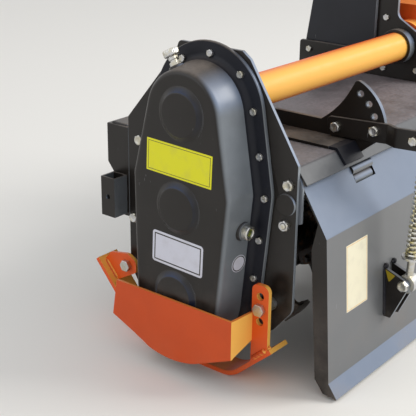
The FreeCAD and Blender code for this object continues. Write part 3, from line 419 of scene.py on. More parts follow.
@dataclass(frozen=True)
class MachinedSteel:
    """Turned bare steel with a film of oil: fine rings round its axis and a few rust specks."""

    name: str
    colour: str = "a9a7a2"
    rust: str = "6d4630"

    def build(self) -> Material:
        """Make the material."""
        material, add = start_material(self.name)
        spot = add("TexCoord").outputs["Object"]
        along = add("SeparateXYZ", [spot]).outputs["Y"]
        # Tool marks are finer than this; they lie about a millimetre apart here so that they show.
        rings = add("TexNoise", {"W": add("Math", [along, 900.0], operation="MULTIPLY"), "Detail": 2.0},
                    noise_dimensions="1D")
        specks = add("TexNoise", {"Vector": spot, "Scale": per_mm(6.0), "Detail": 5.0, "Roughness": 0.55})
        rust = add("MapRange", [specks, 0.60, 0.74], **SMOOTH)
        colour = add("Mix", {0: rust, 6: linear(self.colour), 7: linear(self.rust)}, **COLOURS).outputs[2]
        metal = add("Math", [1.0, add("Math", [rust, 0.8], operation="MULTIPLY")], operation="SUBTRACT")
        rough = add("Math", [0.28, add("Math", [rust, 0.45], operation="MULTIPLY")], operation="ADD")
        relief = add("Bump", {"Height": rings, "Distance": 0.04 * MM, "Strength": 0.5})
        add("OutputMaterial", [add("BsdfPrincipled", {"Base Color": colour, "Metallic": metal,
                                                      "Roughness": rough, "Normal": relief})])
        return material


@dataclass(frozen=True)
class TillSteel:
    """Forged spring-steel tines and their tube: dark paint scoured bare towards the tips, with soil."""

    name: str
    axis_y: float
    axis_z: float
    paint: tuple[str, str] = ("17181a", "2c2825")
    bare: str = "8d8780"
    earth: str = "6f5138"

    def build(self) -> Material:
        """Make the material; the distance from the rotor's axis sets where the paint has gone."""
        material, add = start_material(self.name)
        spot = add("TexCoord").outputs["Object"]
        split = add("SeparateXYZ", [spot])
        side = add("Math", [split.outputs["Y"], self.axis_y], operation="SUBTRACT")
        rise = add("Math", [split.outputs["Z"], self.axis_z], operation="SUBTRACT")
        squares = [add("Math", [part, part], operation="MULTIPLY") for part in (side, rise)]
        reach = add("Math", [add("Math", squares, operation="ADD")], operation="SQRT")
        cloud = add("TexNoise", {"Vector": spot, "Scale": per_mm(22.0), "Detail": 5.0, "Roughness": 0.65})
        uneven = add("Math", [cloud, 0.05], operation="MULTIPLY")
        scoured = add("MapRange", [add("Math", [reach, uneven], operation="ADD"), 0.150, 0.180], **SMOOTH)
        clods = add("TexNoise", {"Vector": spot, "Scale": per_mm(16.0), "Detail": 6.0, "Roughness": 0.7})
        soil = add("MapRange", [clods, 0.50, 0.64], **SMOOTH)
        colour = add("Mix", {0: cloud, 6: linear(self.paint[0]), 7: linear(self.paint[1])},
                     **COLOURS).outputs[2]
        for share, over in ((scoured, self.bare), (soil, self.earth)):
            colour = add("Mix", {0: share, 6: colour, 7: linear(over)}, **COLOURS).outputs[2]
        clean = add("Math", [1.0, soil], operation="SUBTRACT")
        metal = add("Math", [scoured, clean], operation="MULTIPLY")
        rough = add("Math", [0.36, add("Math", [soil, 0.5], operation="MULTIPLY")], operation="ADD")
        crumbs = add("TexNoise", {"Vector": spot, "Scale": per_mm(4.0), "Detail": 5.0, "Roughness": 0.55})
        relief = add("Bump", {"Height": add("Math", [soil, crumbs], operation="MULTIPLY"),
                              "Distance": 1.2 * MM, "Strength": 0.8})
        add("OutputMaterial", [add("BsdfPrincipled", {"Base Color": colour, "Metallic": metal,
                                                      "Roughness": rough, "Normal": relief})])
        return material


@dataclass(frozen=True)
class SightGlass:
    """Clear acrylic window over dark oil."""

    name: str
    oil: tuple[str, str] = ("3d4a24", "8a8f3a")

    def build(self) -> Material:
        """Make the material."""
        material, add = start_material(self.name)
        cloud = add("TexNoise", {"Vector": add("TexCoord").outputs["Object"], "Scale": per_mm(8.0), **EVEN})
        tint = add("Mix", {0: add("MapRange", [cloud, 0.4, 0.6], **SMOOTH), 6: linear(self.oil[0]),
                           7: linear(self.oil[1])}, **COLOURS).outputs[2]
        add("OutputMaterial", [add("BsdfPrincipled", {"Base Color": tint, "Roughness": 0.06, "IOR": 1.49,
                                                      "Coat Weight": 1.0, "Coat Roughness": 0.03})])
        return material


class Finishes:
    """All finishes of the machine, made once and shared."""

    def __init__(self, datum: Datum) -> None:
        """Build every material.

        Args:
            datum: places that the tines' finish follows.
        """
        ink = ("1b1714", "221e1b")           # black paint and where it is thin
        # The black coats carry the painted sheen on faces that look back; the tailgate's is paler and more
        # even, for its sunlit sheet.
        self.black = PowderCoat("gloss_black_powder_coat", *ink, haze_rear=0.62, scratch=0.35).build()
        self.hood = PowderCoat("dusty_black_powder_coat", *ink, dust="a29ca1", dust_up=0.62,
                               dust_thin=0.5, haze="62686e", haze_high="666d74", haze_rear=0.6,
                               ripple=0.02).build()
        # Bluish black on the mast plates: painted sky reflection.
        self.mast = PowderCoat("cool_black_powder_coat", "1a1c24", "20222b", haze_rear=0.62,
                               scratch=0.35).build()
        # Darker bluish black, rougher and less reflective: painted shade for the case's flange face and
        # fillet, the ears' welds and the sectors' feet.
        self.shaded = PowderCoat("satin_black_powder_coat", "13151e", "181a24", gloss=0.45,
                                 index=1.35, dust_up=0.12).build()
        # Blue laid on faces that look up, through the dust shares: painted sky reflection on the bearing
        # bosses' rims.
        self.rims = PowderCoat("polished_black_powder_coat", *ink, dust="2a4d84", dust_up=1.0,
                               dust_thin=0.8, haze="1f2c44", haze_high="2a4d84",
                               haze_rear=0.5).build()
        self.gate = PowderCoat("hazed_black_powder_coat", *ink, dust_up=0.12, haze="8f9296",
                               haze_rear=0.58, ripple=0.015, patchy=0.92, scratch=0.5).build()
        # Lighter grey on plates' cut edges: painted highlight.
        self.edge = PowderCoat("thin_black_coat_on_cut_edges", "5d6168", "6f747b", gloss=0.26,
                               dust_up=0.25, haze_rear=0.7).build()
        # The orange coats take the painted sunlit colour on the side towards the sun.
        self.orange = PowderCoat("orange_powder_coat", "df5818", "d55214", dust="9a8068", gloss=0.42,
                                 dust_up=0.06, dust_low=0.22, dust_reach=0.12, fade=1.0,
                                 ripple=0.02).build()
        # Darker copy of the orange: painted shade for the guard and the skids' welds, with the painted sunlit
        # side as well.
        self.guard = PowderCoat("deep_orange_powder_coat", "cc4b10", "c3460e", dust="9a8068",
                                gloss=0.40, dust_up=0.06, dust_low=0.15, dust_reach=0.12, fade=1.0,
                                ripple=0.02).build()
        self.zinc = PlatedSteel("zinc_plated_steel", "cccdd0", "c4bfae").build()
        self.spring = PlatedSteel("yellow_zinc_spring_wire", "dcdcda", "ccc088", 0.26).build()
        self.yellow = Vinyl("yellow_vinyl", "e2de10").build()
        self.ochre = Vinyl("ochre_vinyl", "a08a12").build()
        self.ink = Vinyl("black_ink_on_vinyl", "2a281f").build()
        self.cream = Vinyl("cream_vinyl", "ece6cc").build()
        self.amber = Vinyl("amber_ink_on_vinyl", "e2a02c").build()
        self.pale = Vinyl("pale_grey_vinyl", "cfd0dc").build()
        self.plastic = MouldedPlastic("black_moulded_polyethylene", "232323").build()
        self.machined = MachinedSteel("oiled_turned_steel").build()
        self.tilling = TillSteel("scoured_tine_steel", datum.axis_y, datum.axis_z).build()
        self.glass = SightGlass("acrylic_sight_glass").build()


def mesh_from_grid(points: np.ndarray, wrap_u: bool = False, wrap_v: bool = False,
                   cap_low: bool = False, cap_high: bool = False) -> Shape:
    """Turn a grid of points into vertices and faces.

    The surface is P(u, v), with u down the first axis and v along the second.

    Args:
        points: array of shape (rows, columns, 3).
        wrap_u: join the last row to the first.
        wrap_v: join the last column to the first.
        cap_low: close the first row with one face.
        cap_high: close the last row with one face.

    Returns:
        Vertices and a list of face index arrays.
    """
    rows, columns = points.shape[:2]
    index = np.arange(rows * columns).reshape(rows, columns)
    a, b = (index, np.roll(index, -1, axis=0)) if wrap_u else (index[:-1], index[1:])
    if wrap_v:
        quads = np.stack([a, np.roll(a, -1, 1), np.roll(b, -1, 1), b], axis=-1)
    else:
        quads = np.stack([a[:, :-1], a[:, 1:], b[:, 1:], b[:, :-1]], axis=-1)
    faces = [quads.reshape(-1, 4)]
    if cap_low:
        faces.append(index[0][::-1].reshape(1, -1))
    if cap_high:
        faces.append(index[-1].reshape(1, -1))
    return points.reshape(-1, 3), faces


def join(parts: Sequence[Shape]) -> Shape:
    """Join several vertex and face sets into one.

    Args:
        parts: shapes in one unit.

    Returns:
        All their vertices, and their faces renumbered.
    """
    vertices = []
    faces = []
    offset = 0
    for points, groups in parts:
        vertices.append(points)
        faces.extend(group + offset for group in groups)
        offset += len(points)
    return np.vstack(vertices), faces


def make_object(name: str, shape: Shape, material: Material, smooth_deg: float = 35.0,
                merge: bool = False) -> Piece:
    """Make an object from vertices in metres, its faces outwards and its creases sharp.

    Args:
        name: piece name.
        shape: vertices and groups of faces.
        material: its finish.
        smooth_deg: edges that turn by more than this stay sharp.
        merge: join vertices that lie on each other, at seams and poles.

    Returns:
        The linked object, at the origin.
    """
    vertices, groups = shape
    mesh = bpy.data.meshes.new(name)
    faces = [face for group in groups for face in group.tolist()]
    mesh.from_pydata(vertices.tolist(), [], faces)
    if merge:
        form = bmesh.new()
        form.from_mesh(mesh)
        bmesh.ops.remove_doubles(form, verts=form.verts, dist=2 * SAME_POINT)
        bmesh.ops.dissolve_degenerate(form, dist=SAME_POINT, edges=form.edges)
        bmesh.ops.recalc_face_normals(form, faces=form.faces)
        form.to_mesh(mesh)
        form.free()
    mesh.validate()
    mesh.shade_smooth()
    mesh.set_sharp_from_angle(angle=math.radians(smooth_deg))
    mesh.materials.append(material)
    piece = bpy.data.objects.new(name, mesh)
    bpy.context.scene.collection.objects.link(piece)
    return piece


def add_piece(name: str, shape: Shape, material: Material, body: str,
              stands_for: Sequence[str] = (), merge: bool = False, smooth_deg: float = 35.0) -> Piece:
    """Make a piece, set it on its body and hide the nodes that it stands for.

    Args:
        name: piece name.
        shape: vertices in metres and faces.
        material: its finish.
        body: the body that it rides on.
        stands_for: nodes that it replaces.
        merge: join seams and poles.
        smooth_deg: edges sharper than this stay sharp.

    Returns:
        The piece.
    """
    piece = make_object(name, shape, material, smooth_deg, merge)
    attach(piece, body)
    if stands_for:
        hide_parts(*stands_for)
    LOG.info("%s on %s, %d faces", name, body, len(piece.data.polygons))
    return piece


def round_edges(piece: Piece, bevel_mm: float, segments: int = 2) -> None:
    """Round a piece's sharp edges.

    Args:
        piece: the piece.
        bevel_mm: width of the rounding.
        segments: steps across it.
    """
    rounding = piece.modifiers.new("rounded edges", "BEVEL")
    rounding.width = bevel_mm * MM
    rounding.segments = segments
    rounding.limit_method = "ANGLE"
    rounding.angle_limit = math.radians(ROUND_DEG)
    rounding.harden_normals = True


def finish_edges(mesh: bpy.types.Mesh, edge: Material) -> None:
    """Give a plate's edges a finish of their own, the painted edge highlight, on a plate that stands along the
    machine.

    Args:
        mesh: the plate's mesh; faces whose normal hardly points along X are its edges.
        edge: their finish.
    """
    mesh.materials.append(edge)
    normals = np.empty(len(mesh.polygons) * 3, np.float32)
    mesh.polygons.foreach_get("normal", normals)
    across = np.abs(normals.reshape(-1, 3)[:, 0]) < 0.5
    mesh.polygons.foreach_set("material_index", across.astype(np.int32))


def softened(node: str, bevel_mm: float, material: Material, segments: int = 2,
             edge: Material | None = None) -> Piece:
    """Copy a node, merge it, and round its edges as on a real plate or casting.

    Args:
        node: name of the node that the copy stands for.
        bevel_mm: width of the rounding.
        material: its finish.
        segments: steps across the rounding.
        edge: finish of the faces across a plate's thickness, for a plate that stands along the machine.

    Returns:
        The copy, which replaces the node.
    """
    source = bpy.data.objects[node]
    form = bmesh.new()
    form.from_mesh(source.data)
    bmesh.ops.remove_doubles(form, verts=form.verts, dist=SAME_POINT)
    bmesh.ops.dissolve_limit(form, angle_limit=math.radians(0.6), verts=form.verts, edges=form.edges)
    mesh = bpy.data.meshes.new(node + "_finished")
    form.to_mesh(mesh)
    form.free()
    mesh.shade_smooth()
    mesh.set_sharp_from_angle(angle=math.radians(ROUND_DEG))
    mesh.materials.clear()
    mesh.materials.append(material)
    if edge is not None:
        finish_edges(mesh, edge)
    piece = bpy.data.objects.new(node + "_finished", mesh)
    bpy.context.scene.collection.objects.link(piece)
    round_edges(piece, bevel_mm, segments)
    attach(piece, source["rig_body"])
    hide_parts(node)
    LOG.info("%s softened by %.1f mm", node, bevel_mm)
    return piece


def axes_for(direction: Sequence[float]) -> np.ndarray:
    """Work out a right-handed frame by two cross products.

    Args:
        direction: any vector but zero.

    Returns:
        Three unit rows, the last of which is the direction.
    """
    w = np.array(direction, float)
    w /= np.linalg.norm(w)
    helper = np.array([0.0, 0.0, 1.0]) if abs(w[2]) < 0.9 else np.array([0.0, 1.0, 0.0])
    u = np.cross(helper, w)
    u /= np.linalg.norm(u)
    return np.stack([u, np.cross(w, u), w])


def revolved(profile: Profile, segments: int, radial: Radial | None = None) -> np.ndarray:
    """Grid of a surface of revolution about +Z: P = (r cos a, r sin a, h) for each (r, h) of the profile.

    Args:
        profile: radii and heights in mm.
        segments: steps round the axis.
        radial: changes the radius, given radius, angle and height arrays.

    Returns:
        Points in mm, of shape (heights, segments, 3).
    """
    angle = np.linspace(0, 2 * math.pi, segments, endpoint=False)
    r, a = np.meshgrid([p[0] for p in profile], angle, indexing="ij")
    h = np.meshgrid([p[1] for p in profile], angle, indexing="ij")[0]
    if radial is not None:
        r = radial(r, a, h)
    return np.stack([r * np.cos(a), r * np.sin(a), h], axis=-1)


def turned(profile: Profile, segments: int = 32, radial: Radial | None = None) -> Shape:
    """Solid turned about +Z from a profile that runs from the bottom up, closed at both ends."""
    return mesh_from_grid(revolved(profile, segments, radial), wrap_v=True, cap_low=True, cap_high=True)


def ring_of(profile: Profile, segments: int = 48) -> Shape:
    """Closed ring turned about +Z: the profile runs round the wall's section, its inner side downwards."""
    return mesh_from_grid(revolved(profile, segments), wrap_u=True, wrap_v=True)


def hexagon(flats: float) -> Radial:
    """Make the radial rule of a hex head: the smaller of the profile's radius and the way to the nearest flat.

    Args:
        flats: width across flats in mm.

    Returns:
        Rule for turned().
    """
    def rule(r: np.ndarray, a: np.ndarray, h: np.ndarray) -> np.ndarray:
        """Cut the radius at the nearest flat."""
        sixth = math.pi / 3
        inside = np.mod(a, sixth) - sixth / 2
        return np.minimum(r, flats / 2 / np.cos(inside))
    return rule


def placed(shape: Shape, origin: np.ndarray, direction: Sequence[float], spin: float = 0.0) -> Shape:
    """Set a shape drawn in mm about +Z at a place in metres, pointing along a direction.

    Args:
        shape: vertices in mm and faces.
        origin: where its own origin goes, in metres.
        direction: the way its +Z points.
        spin: turn about its own axis, in radians.

    Returns:
        Vertices in metres and faces.
    """
    vertices, faces = shape
    c, s = math.cos(spin), math.sin(spin)
    turn = np.array([[c, s, 0], [-s, c, 0], [0, 0, 1]])
    return vertices @ turn @ axes_for(direction) * MM + origin, faces


def on_circle(radius: float, degrees: Sequence[float]) -> list[tuple[float, float]]:
    """Places on a circle: P = r (cos a, sin a)."""
    angles = [math.radians(angle) for angle in degrees]
    return [(radius * math.cos(a), radius * math.sin(a)) for a in angles]


@dataclass(frozen=True)
class Bolt:
    """Hex bolt with a washer or flange, drawn from its seat upwards."""

    flats: float
    head: float
    washer_r: float = 0.0
    washer_t: float = 2.5
    thread_r: float = 0.0        # end of the thread, shown on a nut
    thread_out: float = 0.0

    def shapes(self) -> list[Shape]:
        """Draw the bolt.

        Returns:
            Washer, head and thread end, as closed shapes in mm about +Z.
        """
        made = []
        base = 0.0
        if self.washer_r:
            w, t = self.washer_r, self.washer_t
            made.append(turned([(w - 0.4, -0.4), (w, 0.4), (w, t - 0.4), (w - 0.4, t)], 28))
            base = self.washer_t
        corner = self.flats / 2 / math.cos(math.pi / 6)
        top = base + self.head
        profile = [(corner, base - 0.5), (corner, top - 0.16 * self.flats / 2), (self.flats * 0.46, top),
                   (self.flats * 0.30, top), (self.flats * 0.27, top - 0.35)]
        made.append(turned(profile, 36, hexagon(self.flats)))
        if self.thread_out:
            end = top + self.thread_out
            pitch = max(1.25, self.thread_r * 0.2)
            steps = int(self.thread_out / pitch) * 2 + 1
            heights = np.linspace(top - 0.5, end - 1, steps)
            radii = self.thread_r - 0.35 * pitch * (np.arange(steps) % 2)
            made.append(turned([*zip(radii, heights), (self.thread_r - 1.0, end)], 20))
        return made

    def cluster(self, name: str, seats: Sequence[np.ndarray], direction: Sequence[float],
                material: Material, body: str, slot: str = "zinc_plate") -> Piece:
        """Make one piece of many of these bolts, each turned a little differently.

        Args:
            name: piece name.
            seats: places in metres.
            direction: the way the heads face.
            material: their finish.
            body: the body that they ride on.
            slot: not used.

        Returns:
            The piece.
        """
        parts = [placed(shape, seat, direction, spin=0.37 * (i + 1) ** 2)
                 for i, seat in enumerate(seats) for shape in self.shapes()]
        return add_piece(name, join(parts), material, body)


def swept(path: np.ndarray, radius: np.ndarray | float, segments: int = 10) -> Shape:
    """Round tube along a path, capped at both ends: P(u, v) = C(u) + r(u) (N(u) cos v + B(u) sin v).

    The frame is carried along without twist, by projecting the last normal onto each new plane.

    Args:
        path: centre points, shape (n, 3).
        radius: one radius, or one for each point.
        segments: steps round the tube.

    Returns:
        Vertices in the path's unit and faces.
    """
    tangent = np.gradient(path, axis=0)
    tangent /= np.linalg.norm(tangent, axis=1)[:, None]
    normal = np.empty_like(path)
    normal[0] = axes_for(tangent[0])[0]
    for i in range(1, len(path)):
        side = normal[i - 1] - tangent[i] * (normal[i - 1] @ tangent[i])
        normal[i] = side / np.linalg.norm(side)
    binormal = np.cross(tangent, normal)
    angle = np.linspace(0, 2 * math.pi, segments, endpoint=False)[None, :, None]
    size = np.broadcast_to(np.asarray(radius, float), (len(path),))
    ring = normal[:, None, :] * np.cos(angle) + binormal[:, None, :] * np.sin(angle)
    grid = path[:, None, :] + ring * size[:, None, None]
    return mesh_from_grid(grid, wrap_v=True, cap_low=True, cap_high=True)


def weld_bead(start: np.ndarray, end: np.ndarray, width_mm: float, seed: int) -> Shape:
    """Fillet weld along a line: a thin tube whose radius ripples with each puddle and wanders slightly.

    Args:
        start: first end in metres.
        end: last end in metres.
        width_mm: the bead's width.
        seed: of its wandering.

    Returns:
        Vertices in metres and faces.
    """
    puddle = 2.6                 # half a ripple's length, in mm
    length = np.linalg.norm(end - start)
    count = max(8, int(length / (2.0 * MM)))
    t = np.linspace(0, 1, count)
    drift = np.random.default_rng(seed).normal(0, 0.04, count)
    wander = np.convolve(drift, np.ones(5) / 5, "same")
    ripple = 1 + 0.10 * np.sin(t * length / MM / puddle * math.pi) + wander
    taper = np.clip(np.minimum(t, 1 - t) * length / MM / (width_mm * 0.6), 0.25, 1)
    path = start + (end - start) * t[:, None]
    return swept(path, width_mm / 2 * MM * ripple * taper, 8)


def extruded(outline: Outline, low: float, high: float, steps: int = 7) -> Shape:
    """Plate along X from an outline of (y, z, corner radius), in mm.

    Each corner is an arc between its tangent points: P = C + r (cos a, sin a), where C lies on the
    corner's bisector at r / sin(half the corner's angle).

    Args:
        outline: corners in order.
        low: lower end along X.
        high: upper end along X.
        steps: points on each arc.

    Returns:
        Vertices in mm and faces, closed at both ends.
    """
    corners = np.array([place[:2] for place in outline])
    rows = []
    for i, (y, z, radius) in enumerate(outline):
        corner = np.array([y, z])
        back = corners[i - 1] - corner
        ahead = corners[(i + 1) % len(corners)] - corner
        back /= np.linalg.norm(back)
        ahead /= np.linalg.norm(ahead)
        half = math.acos(np.clip(back @ ahead, -1, 1)) / 2
        middle = (back + ahead) / np.linalg.norm(back + ahead)
        centre = corner + middle * radius / math.sin(half)
        start = corner + back * radius / math.tan(half) - centre
        end = corner + ahead * radius / math.tan(half) - centre
        first = math.atan2(start[1], start[0])
        sweep = (math.atan2(end[1], end[0]) - first + math.pi) % (2 * math.pi) - math.pi
        angle = first + sweep * np.linspace(0, 1, steps)
        rows.append(centre + radius * np.stack([np.cos(angle), np.sin(angle)], 1))
    flat = np.vstack(rows)
    grid = np.stack([np.column_stack([np.full(len(flat), x), flat]) for x in (low, high)])
    return mesh_from_grid(grid, wrap_v=True, cap_low=True, cap_high=True)


@dataclass(frozen=True)
class Film:
    """Blank printed film with a border line: a rounded rectangle laid on a face.

    The outline is P(u) = four quarter arcs joined by straight sides. Each ring is that outline drawn in by
    an inset, and the last ring is drawn in to the middle line.
    """

    width: float
    height: float
    corner: float
    border_in: float             # inset of the border line's outer edge
    border_w: float
    thick: float = FILM_T

    def outline(self, inset: float, steps: int = 9) -> np.ndarray:
        """Work out the outline drawn in by an inset.

        Args:
            inset: distance in mm.
            steps: points on each corner.

        Returns:
            Points in mm, of shape (4 steps, 2).
        """
        half = np.array([self.width / 2 - inset, self.height / 2 - inset])
        r = max(self.corner - inset, 0.3)
        turn = np.linspace(0, math.pi / 2, steps)
        made = []
        for quarter, signs in enumerate(((1, 1), (-1, 1), (-1, -1), (1, -1))):
            a = turn + quarter * math.pi / 2
            made.append(np.array(signs) * (half - r) + r * np.stack([np.cos(a), np.sin(a)], 1))
        return np.vstack(made)

    def build(self, name: str, origin: np.ndarray, right: np.ndarray, up: np.ndarray, base: Material,
              line: Material, body: str, slot: str = "black_paint") -> Piece:
        """Lay the film on a face.

        Args:
            name: piece name.
            origin: centre of the film on the face, in metres.
            right: unit vector along its width.
            up: unit vector along its height.
            base: the film's finish.
            line: the border line's finish.
            body: the body that it rides on.
            slot: not used.

        Returns:
            The piece.
        """
        low = min(self.width, self.height) / 2 - 0.5
        insets = [0.0, 0.0, 0.25, self.border_in, self.border_in + self.border_w, low]
        lifts = [0.02, self.thick * 0.7, self.thick, self.thick, self.thick, self.thick]
        out = np.cross(right, up)
        rows = []
        for inset, lift in zip(insets, lifts):
            flat = self.outline(inset)
            rows.append(origin + (flat[:, :1] * right + flat[:, 1:] * up + lift * out) * MM)
        piece = add_piece(name, mesh_from_grid(np.stack(rows), wrap_v=True, cap_high=True), base, body)
        piece.data.materials.append(line)
        count = len(rows[0])
        marks = np.zeros(len(piece.data.polygons), np.int32)
        marks[3 * count:4 * count] = 1
        piece.data.polygons.foreach_set("material_index", marks)
        return piece


@dataclass
class GearCase:
    """Side gear case: its cover, flange bolts, breather, level glass and blank films."""

    datum: Datum
    finishes: Finishes
    pitch: float = 195.0         # between shafts
    top: tuple[float, float, float] = (0.0, 385.0, 90.0)         # circles of the outline as (y, z, r)
    shoulder: tuple[float, float, float] = (82.0, 238.0, 40.0)
    foot: tuple[float, float, float] = (0.0, 0.0, 108.0)
    flange_grow: float = 46.0
    flange_t: float = 8.0
    edge_r: float = 11.0
    fillet_r: float = 13.0       # between the wall and the flange
    wall_grow: tuple[float, float] = (2.6, 10.0)                 # near the wall's edge and at its foot
    boss_r: float = 54.0
    boss_bevel: float = 11.0
    bolt: Bolt = Bolt(13.6, 6.2)
    top_bolts: tuple[tuple[float, float], ...] = ((-2.0, 498.0), (67.0, 475.0), (-77.0, 470.0))
    flange_bolts: tuple[tuple[float, float], ...] = (
        (113.0, 404.0), (134.0, 318.0), (152.0, 236.0), (145.5, 145.0), (138.5, 59.0))
    foot_bolt_r: float = 139.0
    foot_bolt_deg: tuple[float, ...] = (-28.0, -62.0, -90.0, -118.0, -152.0)
    breather_deg: float = 32.0
    breather_at: tuple[float, float] = (44.0, 4.0)               # behind the face, and above the top circle
    breather_boss: Profile = ((17, -10), (16, 3), (14, 5.5), (9, 5.8))
    breather_foot: Profile = ((12, 5.5), (12, 12.5), (11, 13.5), (7.5, 13.5), (7.5, 18))
    breather_nut: Profile = ((8, 17.0), (10, 18), (10, 24), (8, 25))
    breather_cap: Profile = ((9, 24.5), (15.2, 25.5), (16.3, 27), (16.3, 37), (15.0, 39), (8, 39.8), (2, 40))
    flutes: int = 24             # round the breather's cap
    level_at: tuple[float, float, float] = (52.0, -130.0, 168.0)
    level_boss: Profile = ((21, -10), (20, -3), (18.6, 0), (14, 0.2))
    level_ring: Profile = ((12.4, 0.3), (14.8, 0.3), (14.8, 12.5), (13.4, 14.2), (10.2, 14.2), (8.8, 12.4),
                           (8.8, 0.3))
    level_lens: Profile = ((8.7, 4.0), (8.7, 11.8), (6, 12.6), (3, 13.0), (0.5, 13.1))
    yellow_film: Film = Film(167, 68, 1.2, 4.0, 1.2)
    yellow_at: tuple[float, float] = (2.0, 291.5)
    pale_film: Film = Film(133, 70, 7.0, 5.0, 2.8)
    pale_at: tuple[float, float] = (-2.0, 97.0)
    round_film: Film = Film(38, 38, 18.9, 1.6, 2.4)
    round_at: tuple[float, float] = (49.0, 101.0)                # behind the face, and above the rotor's axis

    @property
    def shelf(self) -> float:
        """Depth of the flange's face behind the case's face."""
        return CASE_DEPTH - self.flange_t

    @property
    def wall_run(self) -> tuple[float, float]:
        """Depths between which the wall drafts outwards."""
        return self.edge_r + 4, self.shelf - self.fillet_r

    def lean(self, local: np.ndarray) -> np.ndarray:
        """Turn places or directions given on the upright case to its real lean, about the rotor's axis."""
        c, s = math.cos(CASE_LEAN), math.sin(CASE_LEAN)
        x, y, z = local[..., 0], local[..., 1], local[..., 2]
        return np.stack([x, y * c - z * s, y * s + z * c], axis=-1)

    def upright(self, x: float, y: float, z: float) -> np.ndarray:
        """Place given on the upright case, in metres."""
        return self.datum.points(self.lean(np.array([x, y, z])))

    def direction(self, x: float, y: float, z: float) -> np.ndarray:
        """Direction given on the upright case."""
        return self.lean(np.array([x, y, z]))

    def belt(self, arc_steps: int = 30, line_steps: int = 14) -> tuple[np.ndarray, np.ndarray]:
        """Outline round four circles joined by their tangents.

        P = C + r n on each arc, and a straight run with one normal on each tangent, so that growing the
        outline by g only adds g n.

        Args:
            arc_steps: points on each arc.
            line_steps: steps along each tangent.

        Returns:
            Points and outward normals in the case's plane.
        """
        sy, sz, sr = self.shoulder
        circles = [self.top, (-sy, sz, sr), self.foot, (sy, sz, sr)]
        headings = []
        for a, b in zip(circles, circles[1:] + circles[:1]):
            run = np.array([b[0] - a[0], b[1] - a[1]])
            lean = math.asin((a[2] - b[2]) / np.linalg.norm(run))
            headings.append(math.atan2(run[1], run[0]) - math.pi / 2 + lean)
        points = []
        normals = []
        for i, (y, z, r) in enumerate(circles):
            start, end = headings[i - 1], headings[i]
            end = start + (end - start) % (2 * math.pi)
            angle = np.linspace(start, end, arc_steps)
            normal = np.stack([np.cos(angle), np.sin(angle)], 1)
            arc = np.array([y, z]) + r * normal
            ny, nz, nr = circles[(i + 1) % 4]
            target = np.array([ny, nz]) + nr * normal[-1]
            share = np.linspace(0, 1, line_steps + 1)[1:-1, None]
            points += [arc, arc[-1] + (target - arc[-1]) * share]
            normals += [normal, np.repeat(normal[-1:], line_steps - 1, 0)]
        return np.vstack(points), np.vstack(normals)

    def wall_profile(self) -> list[tuple[float, float]]:
        """Work out how the outline grows from the face back to the flange.

        Returns:
            Rings as (growth, depth behind the face): flange, fillet, wall and rounded edge.
        """
        flange, shelf = self.flange_grow, self.shelf
        rows = [(flange, CASE_DEPTH - 0.2), (flange, shelf + 1.6), (flange - 1.6, shelf)]
        for a in np.linspace(math.pi / 2, 0, 7):
            rows.append((self.wall_grow[1] + self.fillet_r * (1 - math.cos(a)),
                         shelf - self.fillet_r * (1 - math.sin(a))))
        rows.append((self.wall_grow[0], self.wall_run[0]))
        for a in np.linspace(math.radians(6.5), math.pi / 2, 8):
            rows.append((2.3 - self.edge_r * (1 - math.cos(a)), self.edge_r * (1 - math.sin(a))))
        return rows

    def cover(self) -> None:
        """Cast cover with rounded edges and three bearing bosses."""
        points, normals = self.belt()
        rings = []
        for grow, depth in self.wall_profile():
            flat = points + normals * grow
            rings.append(np.column_stack([np.full(len(flat), depth), flat]))
        edge = rings[-1]
        spine = np.column_stack([edge[:, 0] * 0, edge[:, 1] * 0, np.clip(edge[:, 2], 0, self.top[1])])
        for share in (0.12, 0.45, 0.8, 1.0):
            rings.append(edge + (spine - edge) * share)
        vertices, faces = mesh_from_grid(np.stack(rings), wrap_v=True)
        parts = [(self.datum.points(self.lean(vertices)), faces)]
        outer, inner, top = self.boss_r, self.boss_r - self.boss_bevel, BOSS_H
        boss = turned([(outer + 2.5, -0.4), (outer + 2.2, 0.1), (outer, 0.9), (inner + 1.6, top - 1.1),
                       (inner + 0.5, top - 0.2), (inner - 1.0, top), (12, top), (1, top)], 72)
        parts += [placed(boss, self.upright(0, 0, i * self.pitch), (-1, 0, 0)) for i in range(3)]
        piece = add_piece("gear_case_cover", join(parts), self.finishes.black, "root",
                          ["gear_case"], merge=True, smooth_deg=38)
        # The flange's face and the fillet at the wall's foot take the painted shade; the bosses' rims take the
        # painted blue sky reflection.
        for finish in (self.finishes.shaded, self.finishes.rims):
            piece.data.materials.append(finish)
        cast = piece.data.polygons
        depth = (np.array([face.center[0] for face in cast]) - self.datum.face_x) / MM
        foot = (depth > self.shelf - self.fillet_r) & (depth < self.shelf + 0.4)
        rims = (depth < -1.0) & (np.array([face.normal[0] for face in cast]) > -0.97)
        cast.foreach_set("material_index", foot.astype(np.int32) + 2 * rims.astype(np.int32))

    def bolts(self) -> None:
        """Flange bolts round the cover."""
        seats = list(self.top_bolts)
        for y, z in self.flange_bolts:
            seats += [(-y, z), (y, z)]
        seats += on_circle(self.foot_bolt_r, self.foot_bolt_deg)
        places = [self.upright(self.shelf, y, z) for y, z in seats]
        self.bolt.cluster("case_flange_bolts", places, (-1, 0, 0), self.finishes.zinc, "root")

